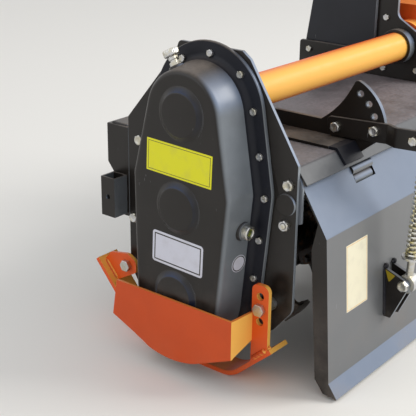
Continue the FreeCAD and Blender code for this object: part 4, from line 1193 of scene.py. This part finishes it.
    def breather(self) -> None:
        """Breather: hex foot, neck, second hex and a knurled cap on the case's forward top."""
        def knurl(r: np.ndarray, angle: np.ndarray, h: np.ndarray) -> np.ndarray:
            """Shallow flutes on the cap's side."""
            return r - 0.35 * (r > 14) * (1 + np.cos(self.flutes * angle))
        a = math.radians(self.breather_deg)
        along = self.direction(0, math.sin(a), math.cos(a))
        depth, above = self.breather_at
        seat = self.upright(depth, 0, self.top[1]) + along * (self.top[2] + above) * MM
        fitting = [turned(self.breather_foot, 36, hexagon(20)), turned(self.breather_nut, 36, hexagon(17)),
                   turned(self.breather_cap, 144, knurl)]
        add_piece("breather_boss", placed(turned(self.breather_boss), seat, along), self.finishes.black,
                  "root", merge=True)
        add_piece("breather_fitting", join([placed(shape, seat, along) for shape in fitting]),
                  self.finishes.zinc, "root", ["breather_plug"], merge=True)

    def level_glass(self) -> None:
        """Oil level window: a turned ring with an acrylic lens, on a boss of the rear wall."""
        seat = self.upright(*self.level_at)
        out = self.direction(0, -1, 0)
        add_piece("level_glass_boss", placed(turned(self.level_boss, 40), seat, out), self.finishes.black,
                  "root", merge=True)
        add_piece("level_glass_ring", placed(ring_of(self.level_ring), seat, out), self.finishes.zinc,
                  "root", ["level_plug"])
        add_piece("level_glass_lens", placed(turned(self.level_lens), seat, out), self.finishes.glass,
                  "root", merge=True)

    def films(self) -> None:
        """Blank films: a yellow one between the upper bosses, a pale one below, and a round one behind."""
        right = self.direction(0, -1, 0)
        up = self.direction(0, 0, 1)
        self.yellow_film.build("yellow_film", self.upright(0, *self.yellow_at), right, up,
                               self.finishes.yellow, self.finishes.ink, "root")
        self.pale_film.build("pale_film", self.upright(0, *self.pale_at), right, up,
                             self.finishes.pale, self.finishes.ink, "root")
        depth, height = self.round_at
        points, normals = self.belt()
        wall = np.argmin(np.abs(points[:, 1] - height) + (points[:, 0] > 0) * 1000)
        normal = normals[wall]
        near, far = self.wall_run
        draft = (self.wall_grow[1] - self.wall_grow[0]) / (far - near)
        flat = points[wall] + normal * (self.wall_grow[0] + draft * (depth - near))
        slope = math.atan(draft)
        out = self.direction(-math.sin(slope), *(normal * math.cos(slope)))
        up = self.direction(0, -normal[1], normal[0])
        up = up * np.sign(up[2])
        self.round_film.build("round_film", self.upright(depth, *flat) + out * 0.1 * MM, np.cross(up, out), up,
                              self.finishes.pale, self.finishes.ink, "root")

    def build(self) -> None:
        """Build the whole case."""
        self.cover()
        self.bolts()
        self.breather()
        self.level_glass()
        self.films()


@dataclass
class SidePlates:
    """Both side plates with their rounded edges, lighter as a painted highlight, their bolts and the rotor's
    bearings.
    """

    datum: Datum
    finishes: Finishes
    plate_bevel: float = 1.2
    bolts: tuple[tuple[float, float], ...] = ((-211.0, 267.0), (174.0, 281.0), (193.0, 99.0))
    bolt: Bolt = Bolt(20.5, 9.0)
    nut: Bolt = Bolt(20.5, 10.5, thread_r=6.0, thread_out=5.0)
    nut_at: tuple[float, float] = (-206.0, 183.5)
    cover_bolt: Bolt = Bolt(13, 7)
    cover_bolt_r: float = 50.0
    bearing_bevels: tuple[tuple[str, float], ...] = (("bearing_right", 2.5), ("bearing_left", 1.5))

    def build(self) -> None:
        """Dress both plates and bearings."""
        zinc = self.finishes.zinc
        for hand in Hand:
            # The plates' cut edges take the painted highlight.
            softened(f"side_plate_{hand.side}", self.plate_bevel, self.finishes.black,
                     edge=self.finishes.edge)
            x = CASE_DEPTH if hand is Hand.LEFT else self.datum.mirrored(CASE_DEPTH)
            out = (hand.value, 0, 0)
            seats = [self.datum.point(x, y, z) for y, z in self.bolts]
            self.bolt.cluster(f"side_plate_bolts_{hand.side}", seats, out, zinc, "root")
            self.nut.cluster(f"side_plate_nut_{hand.side}", [self.datum.point(x, *self.nut_at)], out, zinc,
                             "root")
        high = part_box("bearing_right")[1].x
        seats = [np.array([high, *self.datum.point(0, *place)[1:]])
                 for place in on_circle(self.cover_bolt_r, SIXTHS)]
        self.cover_bolt.cluster("bearing_cover_bolts", seats, (1, 0, 0), zinc, "root")
        for node, bevel in self.bearing_bevels:
            softened(node, bevel, self.finishes.black)


@dataclass
class Body:
    """Hood, front beam, stand socket and the welds that join them to the side plates."""

    datum: Datum
    finishes: Finishes
    inner: float = 914.0         # side plates' inner faces, from the middle
    hood_top: float = 303.0
    beam: tuple[float, float, float, float] = (209.0, 273.0, 204.0, 301.0)     # rear, front, low, high
    foot: tuple[float, float] = (706.5, 776.0)
    foot_outline: Outline = (
        (-205.4, 303.2, 0.3), (-222.0, 303.2, 0.5), (-243.4, 275.8, 0.3), (-248.1, 279.5, 0.5),
        (-224.7, 309.4, 5.0), (-205.4, 309.4, 0.3))
    strip_t: float = 6.0
    strip_outline: Outline = (
        (-214.0, 182.0, 0.5), (-237.0, 190.0, 2.0), (-237.0, 262.0, 2.0), (-229.0, 284.0, 3.0),
        (-214.0, 284.0, 0.5))
    plate_round: float = 1.0
    weld_w: float = 7.0

    def welds(self) -> None:
        """Fillet welds along the hood, the beam and the hood's front slope."""
        beads = []
        rear, front, low, high = self.beam
        for side, sign in enumerate((-1, 1)):
            x = sign * (self.inner - 1)
            lines = [((x, -215, self.hood_top + 1), (x, 105, self.hood_top + 1)),
                     ((x, front + 0.5, low + 10), (x, front + 0.5, high - 8)),
                     ((x, rear + 8, high + 0.5), (x, front - 8, high + 0.5)),
                     ((x, 116, self.hood_top - 3), (x, 203, 230))]
            for seed, (a, b) in enumerate(lines, len(lines) * side + 1):
                beads.append(weld_bead(self.datum.across(*a), self.datum.across(*b), self.weld_w, seed))
        add_piece("body_welds", join(beads), self.finishes.black, "root")

    def plates(self) -> None:
        """Strips inside the side plates' rear edges, lit by the painted edge highlight, and the sectors' feet
        folded over the hood's lip, darkened as a painted shadow of the sectors.
        """
        strip = (self.inner - self.strip_t, self.inner)
        # The feet in the darker black stand for the shadow that the sectors cast on the lip: painted shadow.
        # The strips take the painted edge highlight.
        for name, outline, reach, finish in (
                ("sector_feet", self.foot_outline, self.foot, self.finishes.shaded),
                ("side_plate_strips", self.strip_outline, strip, self.finishes.edge)):
            parts = [extruded(outline, *sorted(sign * x for x in reach)) for sign in (-1, 1)]
            piece = add_piece(name, self.datum.laid(join(parts)), finish, "root", merge=True)
            round_edges(piece, self.plate_round)

    def build(self) -> None:
        """Dress the body."""
        self.plates()
        softened("hood", 1.5, self.finishes.hood)
        softened("front_beam", 3.0, self.finishes.black)
        softened("stand_socket", 1.2, self.finishes.black)
        self.welds()


@dataclass
class DriveLine:
    """Gearbox casting, tubes, flanges, splined stub and its shield."""

    datum: Datum
    finishes: Finishes
    axis: tuple[float, float] = (-15.4, 389.7)
    flange_in: float = 118.0
    flange_t: float = 12.0
    flange_bolt: Bolt = Bolt(13, 7.5)
    flange_bolt_r: float = 49.0
    stub_r: float = 17.4
    stub: tuple[float, float] = (140.0, 236.0)
    splines: int = 6
    spline_depth: float = 2.6
    collar_h: float = 8.0        # the splines begin this far along the stub

    def flange_bolts(self) -> None:
        """Bolts of both tube flanges."""
        for hand in Hand:
            x = hand.value * (self.flange_in + self.flange_t)
            seats = [self.datum.across(x, self.axis[0] + y, self.axis[1] + z)
                     for y, z in on_circle(self.flange_bolt_r, SIXTHS)]
            self.flange_bolt.cluster(f"tube_flange_bolts_{hand.side}", seats, (hand.value, 0, 0),
                                     self.finishes.zinc, "root")

    def splined_stub(self) -> None:
        """Input stub with straight splines and a locking groove: r falls to the root between the splines."""
        start, end = self.stub
        length = end - start

        def spline(r: np.ndarray, a: np.ndarray, h: np.ndarray) -> np.ndarray:
            """Cut the gaps between the splines along the stub, none on the collar."""
            wave = np.cos(self.splines * a)
            cut = self.spline_depth / (1 + np.exp(-9 * (-wave - 0.15)))
            return r - cut * (h > self.collar_h)
        r = self.stub_r
        profile = [(r + 1.9, -56), (r + 1.9, 5), (r + 0.4, 6.5), (r, 8.5), (r, length - 30),
                   (r - 3.2, length - 27), (r - 3.2, length - 20), (r, length - 17), (r, length - 3),
                   (r - 2.4, length)]
        shape = placed(turned(profile, 144, spline), self.datum.across(0, start, self.axis[1]), (0, 1, 0))
        add_piece("pto_stub_splined", shape, self.finishes.machined, "pto_shaft",
                  ["pto_shaft"], smooth_deg=30)

    def build(self) -> None:
        """Dress the drive."""
        black, orange = self.finishes.black, self.finishes.orange
        for node, bevel, finish in (("drive_tube", 0.8, orange), ("support_tube", 0.8, orange),
                                    ("tube_flange_left", 1.5, black), ("tube_flange_right", 1.5, black),
                                    ("gearbox", 2.5, orange), ("gearbox_mount", 1.5, black),
                                    ("pto_shield", 0.8, self.finishes.plastic)):
            softened(node, bevel, finish)
        self.flange_bolts()
        self.splined_stub()


@dataclass
class Hitch:
    """Mast, braces, lower clevises and pins."""

    datum: Datum
    finishes: Finishes
    foot_x: float = 172.0
    brace_x: float = 150.0
    bolt: Bolt = Bolt(15, 6.5)
    foot_bolts: tuple[tuple[float, float], ...] = ((241.0, 350.0),)
    brace_bolts: tuple[tuple[float, float], ...] = ((25.0, 327.0), (-70.0, 333.0), (26.0, 457.0))

    def build(self) -> None:
        """Dress the hitch."""
        for hand in Hand:
            # The mast plates' and braces' cut edges take the painted highlight.
            softened(f"mast_plate_{hand.side}", 1.5, self.finishes.mast, edge=self.finishes.edge)
            softened(f"mast_brace_{hand.side}", 1.2, self.finishes.black, edge=self.finishes.edge)
            softened(f"hitch_bracket_{hand.side}", 1.5, self.finishes.black)
            softened(f"hitch_pin_{hand.side}", 1.2, self.finishes.zinc)
        softened("mast_spacer", 0.8, self.finishes.zinc)
        for hand in Hand:
            seats = [self.datum.across(hand.value * x, y, z)
                     for x, places in ((self.foot_x, self.foot_bolts), (self.brace_x, self.brace_bolts))
                     for y, z in places]
            self.bolt.cluster(f"mast_bolts_{hand.side}", seats, (hand.value, 0, 0), self.finishes.zinc,
                              "root")


@dataclass
class Skids:
    """Both skids, the guard at the case's foot, and their bolts and welds."""

    datum: Datum
    finishes: Finishes
    floor: float = -174.0
    runner_t: float = 10.0
    rear_bend: float = -112.0
    tail: tuple[float, float] = (-211.0, -84.0)
    upright_x: float = 50.0      # outer face, right of the case's face
    upright_y: tuple[float, float] = (-198.5, -161.5)
    upright_weld: tuple[float, float] = (11.0, 12.0)             # along its foot and across its rear edge
    lug_x: float = 68.0
    lug_t: float = 8.0
    lug_foot: tuple[float, float] = (229.5, -55.0)
    lug_head: tuple[float, float] = (265.0, -14.0)
    lug_weld: tuple[float, float] = (9.0, 8.0)                   # on its outer and inner side

    def above_tail(self, y: float) -> float:
        """Height of a weld on the tail's upper face, at a place along it."""
        slope = (self.tail[1] - self.floor) / (self.rear_bend - self.tail[0])
        return self.floor + (self.rear_bend - y) * slope + self.runner_t * math.hypot(1, slope) + 4

    def welds(self) -> None:
        """Fillet welds where each upright and lug stands on its runner."""
        rear, front = self.upright_y
        back = rear - 3
        side, inner = self.upright_x, self.lug_x + self.lug_t
        lines = [((side, rear, self.above_tail(rear)), (side, front, self.above_tail(front))),
                 ((side - 1, back, self.above_tail(back)), (side + 12, back, self.above_tail(back))),
                 ((self.lug_x, *self.lug_foot), (self.lug_x, *self.lug_head)),
                 ((inner, *self.lug_foot), (inner, *self.lug_head))]
        for hand in Hand:
            beads = []
            for seed, (width, line) in enumerate(zip(self.upright_weld + self.lug_weld, lines), 70):
                ends = [self.datum.point(x if hand is Hand.LEFT else self.datum.mirrored(x), y, z)
                        for x, y, z in line]
                beads.append(weld_bead(*ends, width, seed))
            # The welds take the darker orange, a painted shade.
            add_piece(f"skid_welds_{hand.side}", join(beads), self.finishes.guard, "root")

    def build(self) -> None:
        """Dress the skids."""
        for hand in Hand:
            softened(f"skid_{hand.side}", 1.2, self.finishes.orange)
            softened(f"skid_bolts_{hand.side}", 0.8, self.finishes.zinc)
        # The guard takes the darker orange, a painted shade.
        softened("skid_guard", 1.5, self.finishes.guard)
        self.welds()


@dataclass
class Tailgate:
    """Tailgate with its hinges, ears and blank films."""

    datum: Datum
    finishes: Finishes
    bend: tuple[float, float] = (-292.0, 170.0)
    foot: tuple[float, float] = (-315.0, -138.0)
    gate_film: Film = Film(82, 144, 1.2, 2.2, 1.0)
    film_x: float = 217.0        # right of the case's face
    film_down: float = 108.0     # below the bend
    ear_x: float = 664.0
    ear_gap: float = 26.0
    ear_t: float = 8.0
    ear_outline: Outline = (
        (-301.7, 39.4, 0.5), (-366.0, 16.0, 12.0), (-326.2, -73.3, 4.0), (-310.2, -73.3, 0.5))
    ear_film: Outline = (
        (-305.5, 36.0, 1.0), (-330.0, 26.6, 1.5), (-316.4, 9.0, 1.5), (-311.0, 22.0, 1.5))
    ear_round: float = 1.0
    ear_weld: float = 8.0        # along an ear's side
    ear_head_weld: float = 14.0
    ear_bolt_at: tuple[float, float] = (-351.0, 10.0)
    ear_bolt: Bolt = Bolt(21, 9.5)
    ear_nut: Bolt = Bolt(21, 11, thread_r=7, thread_out=6)
    shank_r: float = 7.6

    def films(self) -> None:
        """Cream film with an amber line on the lower sheet, and a small ochre one on the outer left ear."""
        run = np.array([0.0, self.foot[0] - self.bend[0], self.foot[1] - self.bend[1]])
        run /= np.linalg.norm(run)
        seat = self.datum.point(self.film_x, *(np.array(self.bend) + run[1:] * self.film_down))
        self.gate_film.build("gate_film", seat, np.array([1.0, 0.0, 0.0]), -run, self.finishes.cream,
                             self.finishes.amber, "tailgate")
        face = -self.ear_x - self.ear_gap / 2 - self.ear_t
        film = extruded(self.ear_film, face - FILM_T, face + 0.2)
        add_piece("ear_film", self.datum.laid(film), self.finishes.ochre, "tailgate")

    def ears(self, hand: Hand) -> None:
        """Pair of ears with their welds, and the bolt through them.

        Args:
            hand: side of the machine.
        """
        parts = []
        beads = []
        middle = hand.value * self.ear_x
        inner = self.ear_gap / 2
        outer = inner + self.ear_t
        top = np.array(self.ear_outline[0][:2])
        foot = np.array(self.ear_outline[-1][:2])
        side_weld = (top + (foot - top) * 0.02 + (-1.5, 0), foot + (-1.5, 2))
        head_weld = top + (-3, 3)
        for way in (-1, 1):
            low, high = sorted((middle + way * inner, middle + way * outer))
            parts.append(extruded(self.ear_outline, low, high))
            x = middle + way * (outer + 0.5)
            beads.append(weld_bead(*(self.datum.across(x, *place) for place in side_weld), self.ear_weld,
                                   40 + way))
            beads.append(weld_bead(*(self.datum.across(x, *head_weld) for x in (low - 5, high + 5)),
                                   self.ear_head_weld, 50 + way))
        piece = add_piece(f"gate_ears_dressed_{hand.side}", self.datum.laid(join(parts)), self.finishes.black,
                          "tailgate", [f"gate_ears_{hand.side}"], merge=True)
        # The ears' cut edges take the painted highlight.
        finish_edges(piece.data, self.finishes.edge)
        round_edges(piece, self.ear_round)
        # The welds take the painted shade, for the shadow that the ears cast beside them.
        add_piece(f"gate_ear_welds_{hand.side}", join(beads), self.finishes.shaded, "tailgate")
        self.through_bolt(hand, outer)

    def through_bolt(self, hand: Hand, outer: float) -> None:
        """Bolt through a pair of ears: shank, head and nut.

        Args:
            hand: side of the machine.
            outer: distance of the ears' outer faces from their middle.
        """
        zinc = self.finishes.zinc
        middle = hand.value * self.ear_x
        head, nut = (self.datum.across(middle + reach, *self.ear_bolt_at) for reach in (-outer, outer))
        r, length = self.shank_r, 2 * outer
        shank = turned([(1, 0.5), (r, 0.5), (r, length - 0.5), (1, length - 0.5)], 28)
        add_piece(f"ear_shank_{hand.side}", placed(shank, head, (1, 0, 0)), zinc, "tailgate",
                  smooth_deg=38)
        self.ear_bolt.cluster(f"ear_bolt_{hand.side}", [head], (-1, 0, 0), zinc, "tailgate")
        self.ear_nut.cluster(f"ear_nut_{hand.side}", [nut], (1, 0, 0), zinc, "tailgate")

    def build(self) -> None:
        """Dress the tailgate."""
        softened("tailgate", 0.8, self.finishes.gate)
        softened("hinge_brackets", 1.0, self.finishes.black)
        softened("hinge_rod", 0.8, self.finishes.zinc)
        for hand in Hand:
            self.ears(hand)
        self.films()


@dataclass
class SpringRods:
    """Sprung rods that press the tailgate down, with their arms and sectors."""

    datum: Datum
    finishes: Finishes
    rod_x: float = 664.0
    eye: tuple[float, float] = (-351.0, 10.0)
    swivel: tuple[float, float] = (-368.0, 342.0)
    arm_x: float = 706.0         # inner face of the arm at its pivot
    arm_t: float = 8.0
    arm_step: float = 17.0
    pivot: tuple[float, float] = (-182.0, 332.0)
    lock: tuple[float, float] = (-271.7, 339.8)
    sector_t: float = 10.0
    sector_r: float = 90.0
    sector_deg: tuple[float, ...] = (22.5, 40.0, 57.5)
    washer_from_eye: float = 58.0
    washer_t: float = 5.0
    swivel_h: float = 30.0
    coil_r: float = 13.2
    wire_r: float = 2.7
    coils: int = 24
    coil_gap: float = 0.4        # between the spring's ends and their seats
    kept: float = 0.592          # share of the spring's length left at the gate's upper limit
    arm_bolt: Bolt = Bolt(19.5, 9)
    arm_nut: Bolt = Bolt(19.5, 13, washer_r=12.5, thread_r=6, thread_out=8)
    swivel_bolt: Bolt = Bolt(16.5, 8)

    def spring(self, hand: Hand) -> None:
        """Helical spring with closed ends: C(t) = (R cos, R sin, rise), whose rise slows at both ends.

        Args:
            hand: side of the machine.
        """
        up = np.array([0.0, self.swivel[0] - self.eye[0], self.swivel[1] - self.eye[1]])
        reach = np.linalg.norm(up)
        up /= reach
        start = self.washer_from_eye + self.washer_t + self.coil_gap
        length = reach - self.swivel_h / 2 - self.coil_gap - start
        t = np.linspace(0, 1, self.coils * 20 + 1)
        pitch = np.clip(np.minimum(t, 1 - t) * self.coils, 0.0, 1.5) / 1.5
        rise = np.concatenate([[0], np.cumsum(0.24 + 0.76 * pitch[1:])])
        rise = self.wire_r + rise / rise[-1] * (length - 2 * self.wire_r)
        a = 2 * math.pi * self.coils * t
        path = np.stack([self.coil_r * np.cos(a), self.coil_r * np.sin(a), rise], 1)
        origin = self.datum.across(hand.value * self.rod_x, *self.eye) + up * start * MM
        piece = add_piece(f"coil_spring_{hand.side}", placed(swept(path, self.wire_r, 12), origin, up),
                          self.finishes.spring, f"rod_{hand.side}",
                          [f"rod_spring_{hand.side}"])
        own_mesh(piece)

    def bushes(self, hand: Hand) -> None:
        """Short sleeves that line the sector's holes.

        Args:
            hand: side of the machine.
        """
        t = self.sector_t
        sleeve = ring_of([(8.5, 0.3), (8.5, t - 0.3), (7.3, t - 0.2), (6.7, t - 0.8), (6.7, 0.8), (7.3, 0.2)],
                         40)
        seats = [self.datum.across(hand.value * (self.arm_x - t), self.pivot[0] - back, self.pivot[1] + rise)
                 for back, rise in on_circle(self.sector_r, self.sector_deg)]
        sleeves = join([placed(sleeve, seat, (hand.value, 0, 0)) for seat in seats])
        add_piece(f"sector_bushes_{hand.side}", sleeves, self.finishes.black, "root")

    def bolts(self, hand: Hand) -> None:
        """Pivot and locking bolts of the arm, their nuts behind the sector, and the swivel's bolt.

        Args:
            hand: side of the machine.
        """
        zinc = self.finishes.zinc
        out, away = (hand.value, 0, 0), (-hand.value, 0, 0)
        face, back = self.arm_x + self.arm_t, self.arm_x - self.sector_t
        heads, nuts = ([self.datum.across(hand.value * x, *place) for place in (self.pivot, self.lock)]
                       for x in (face, back))
        self.arm_bolt.cluster(f"arm_bolts_{hand.side}", heads, out, zinc, "root")
        self.arm_nut.cluster(f"arm_nuts_{hand.side}", nuts, away, zinc, "root")
        seat = self.datum.across(hand.value * (face + self.arm_step + 0.4), *self.swivel)
        self.swivel_bolt.cluster(f"swivel_bolt_{hand.side}", [seat], out, zinc, f"swivel_{hand.side}")

    def build(self) -> None:
        """Dress both rods."""
        for hand in Hand:
            softened(f"spring_rod_{hand.side}", 0.8, self.finishes.zinc)
            for node in ("rod_swivel", "spring_arm", "sector_plate"):
                softened(f"{node}_{hand.side}", 1.2, self.finishes.black)
            self.bushes(hand)
            self.spring(hand)
            self.bolts(hand)


@dataclass
class Rotor:
    """Tine rotor."""

    datum: Datum
    finishes: Finishes
    end: float = 779.0           # outermost tine flange, from the middle
    flanges: int = 8
    twist: float = 22.5          # degrees from one flange to the next
    flange_t: float = 8.0
    tine_t: float = 8.0
    tine_bolt: Bolt = Bolt(17, 7)
    tine_nut: Bolt = Bolt(17, 10)
    bolt_y: float = 13.0
    bolt_r: float = 67.0

    def bolts(self) -> None:
        """Two bolts through each tine and its flange: (y, z) turned by each tine's angle about the axis."""
        heads: dict[Hand, list[np.ndarray]] = {hand: [] for hand in Hand}
        nuts: dict[Hand, list[np.ndarray]] = {hand: [] for hand in Hand}
        r = self.bolt_r
        for i, x in enumerate(np.linspace(-self.end, self.end, self.flanges)):
            for hand in Hand:
                head = x + hand.value * (self.flange_t / 2 + self.tine_t)
                nut = x - hand.value * self.flange_t / 2
                for k in range(3):
                    a = math.radians(120 * k + (0 if hand is Hand.RIGHT else 60) + self.twist * i)
                    c, s = math.cos(a), math.sin(a)
                    for y in (-self.bolt_y, self.bolt_y):
                        place = (y * c - r * s, y * s + r * c)
                        heads[hand].append(self.datum.across(head, *place))
                        nuts[hand].append(self.datum.across(nut, *place))
        for hand in Hand:
            for bolt, name, seats, sign in ((self.tine_bolt, "tine_bolts", heads[hand], hand.value),
                                            (self.tine_nut, "tine_nuts", nuts[hand], -hand.value)):
                bolt.cluster(f"{name}_{hand.side}", seats, (sign, 0, 0), self.finishes.tilling, "rotor",
                             "bare_steel")

    def build(self) -> None:
        """Dress the rotor."""
        self.bolts()
        softened("rotor", 0.8, self.finishes.tilling, segments=1)


@dataclass(frozen=True)
class Lamp:
    """Square soft light aimed at the machine's middle; places and sizes in metres."""

    name: str
    place: tuple[float, float, float]
    size: float
    watts: float
    colour: tuple[float, float, float]
    target: tuple[float, float, float] = (0.0, 0.0, 0.45)

    def build(self) -> None:
        """Hang the lamp."""
        data = bpy.data.lights.new(self.name, "AREA")
        data.size = self.size
        data.energy = self.watts
        data.color = self.colour
        lamp = bpy.data.objects.new(self.name, data)
        lamp.location = self.place
        aim = Vector(self.target) - Vector(self.place)
        lamp.rotation_mode = "QUATERNION"
        lamp.rotation_quaternion = aim.to_track_quat("-Z", "Y")
        bpy.context.scene.collection.objects.link(lamp)


@dataclass
class Studio:
    """Floor, lights, world and camera, in metres."""

    location: tuple[float, float, float] = (-2.3885, -1.1877, 1.0808)
    right: tuple[float, float, float] = (0.62641, -0.77943, 0.01014)
    up: tuple[float, float, float] = (0.27380, 0.23219, 0.93334)
    back: tuple[float, float, float] = (-0.72982, -0.58188, 0.35885)
    lens: float = 85.89
    floor_half: float = 14.0
    floor_colour: str = "ecebe8"
    surround: float = 0.7        # strength of the world's light; it shows as white
    lamps: tuple[Lamp, ...] = (Lamp("key", (2.2, -3.2, 3.4), 2.3, 170.0, (1.0, 0.97, 0.92)),
                               Lamp("fill", (-3.6, 1.6, 2.0), 2.4, 15.0, (0.88, 0.93, 1.0)))

    def camera(self) -> None:
        """Camera at the photo's viewpoint."""
        data = bpy.data.cameras.new("view")
        data.sensor_width = 36.0
        data.lens = self.lens
        data.clip_end = 60.0
        camera = bpy.data.objects.new("view", data)
        columns = Matrix((self.right, self.up, self.back)).transposed().to_4x4()
        columns.translation = Vector(self.location)
        camera.matrix_world = columns
        bpy.context.scene.collection.objects.link(camera)
        bpy.context.scene.camera = camera

    def floor(self) -> None:
        """Plain pale floor."""
        mesh = bpy.data.meshes.new("floor")
        half = self.floor_half
        corners = [(-half, -half, 0), (half, -half, 0), (half, half, 0), (-half, half, 0)]
        mesh.from_pydata(corners, [], [(0, 1, 2, 3)])
        material, add = start_material("matt_white_floor")
        add("OutputMaterial", [add("BsdfPrincipled", {"Base Color": linear(self.floor_colour),
                                                      "Roughness": 0.9})])
        mesh.materials.append(material)
        floor = bpy.data.objects.new("floor", mesh)
        bpy.context.scene.collection.objects.link(floor)

    def world(self) -> None:
        """Soft surround that shows as white behind the machine and in its metal and glass."""
        world = bpy.data.worlds.new("surround")
        world.use_nodes = True
        world.node_tree.nodes.clear()
        add = partial(add_node, world.node_tree)
        rays = add("LightPath").outputs
        seen = add("Math", [rays["Is Glossy Ray"], rays["Is Transmission Ray"]], operation="MAXIMUM")
        seen = add("Math", [rays["Is Camera Ray"], seen], operation="MAXIMUM")
        strength = add("MapRange", [seen, 0.0, 1.0, self.surround, 1.0], **SMOOTH)
        shader = add("Background", {"Color": (1, 1, 1, 1), "Strength": strength})
        add("OutputWorld", {"Surface": shader})
        bpy.context.scene.world = world

    def build(self) -> None:
        """Set up the studio."""
        self.camera()
        self.floor()
        self.world()
        for lamp in self.lamps:
            lamp.build()
        bpy.context.scene.view_settings.view_transform = "Standard"


def main() -> None:
    """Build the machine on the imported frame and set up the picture."""
    logging.basicConfig(level=logging.INFO, format="%(message)s", stream=sys.stdout)
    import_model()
    datum = read_datum()
    finishes = Finishes(datum)
    for assembly in (GearCase(datum, finishes), SidePlates(datum, finishes), Body(datum, finishes),
                     DriveLine(datum, finishes), Hitch(datum, finishes), Skids(datum, finishes),
                     Tailgate(datum, finishes), SpringRods(datum, finishes), Rotor(datum, finishes),
                     Studio()):
        assembly.build()


if __name__ == "__main__":
    main()
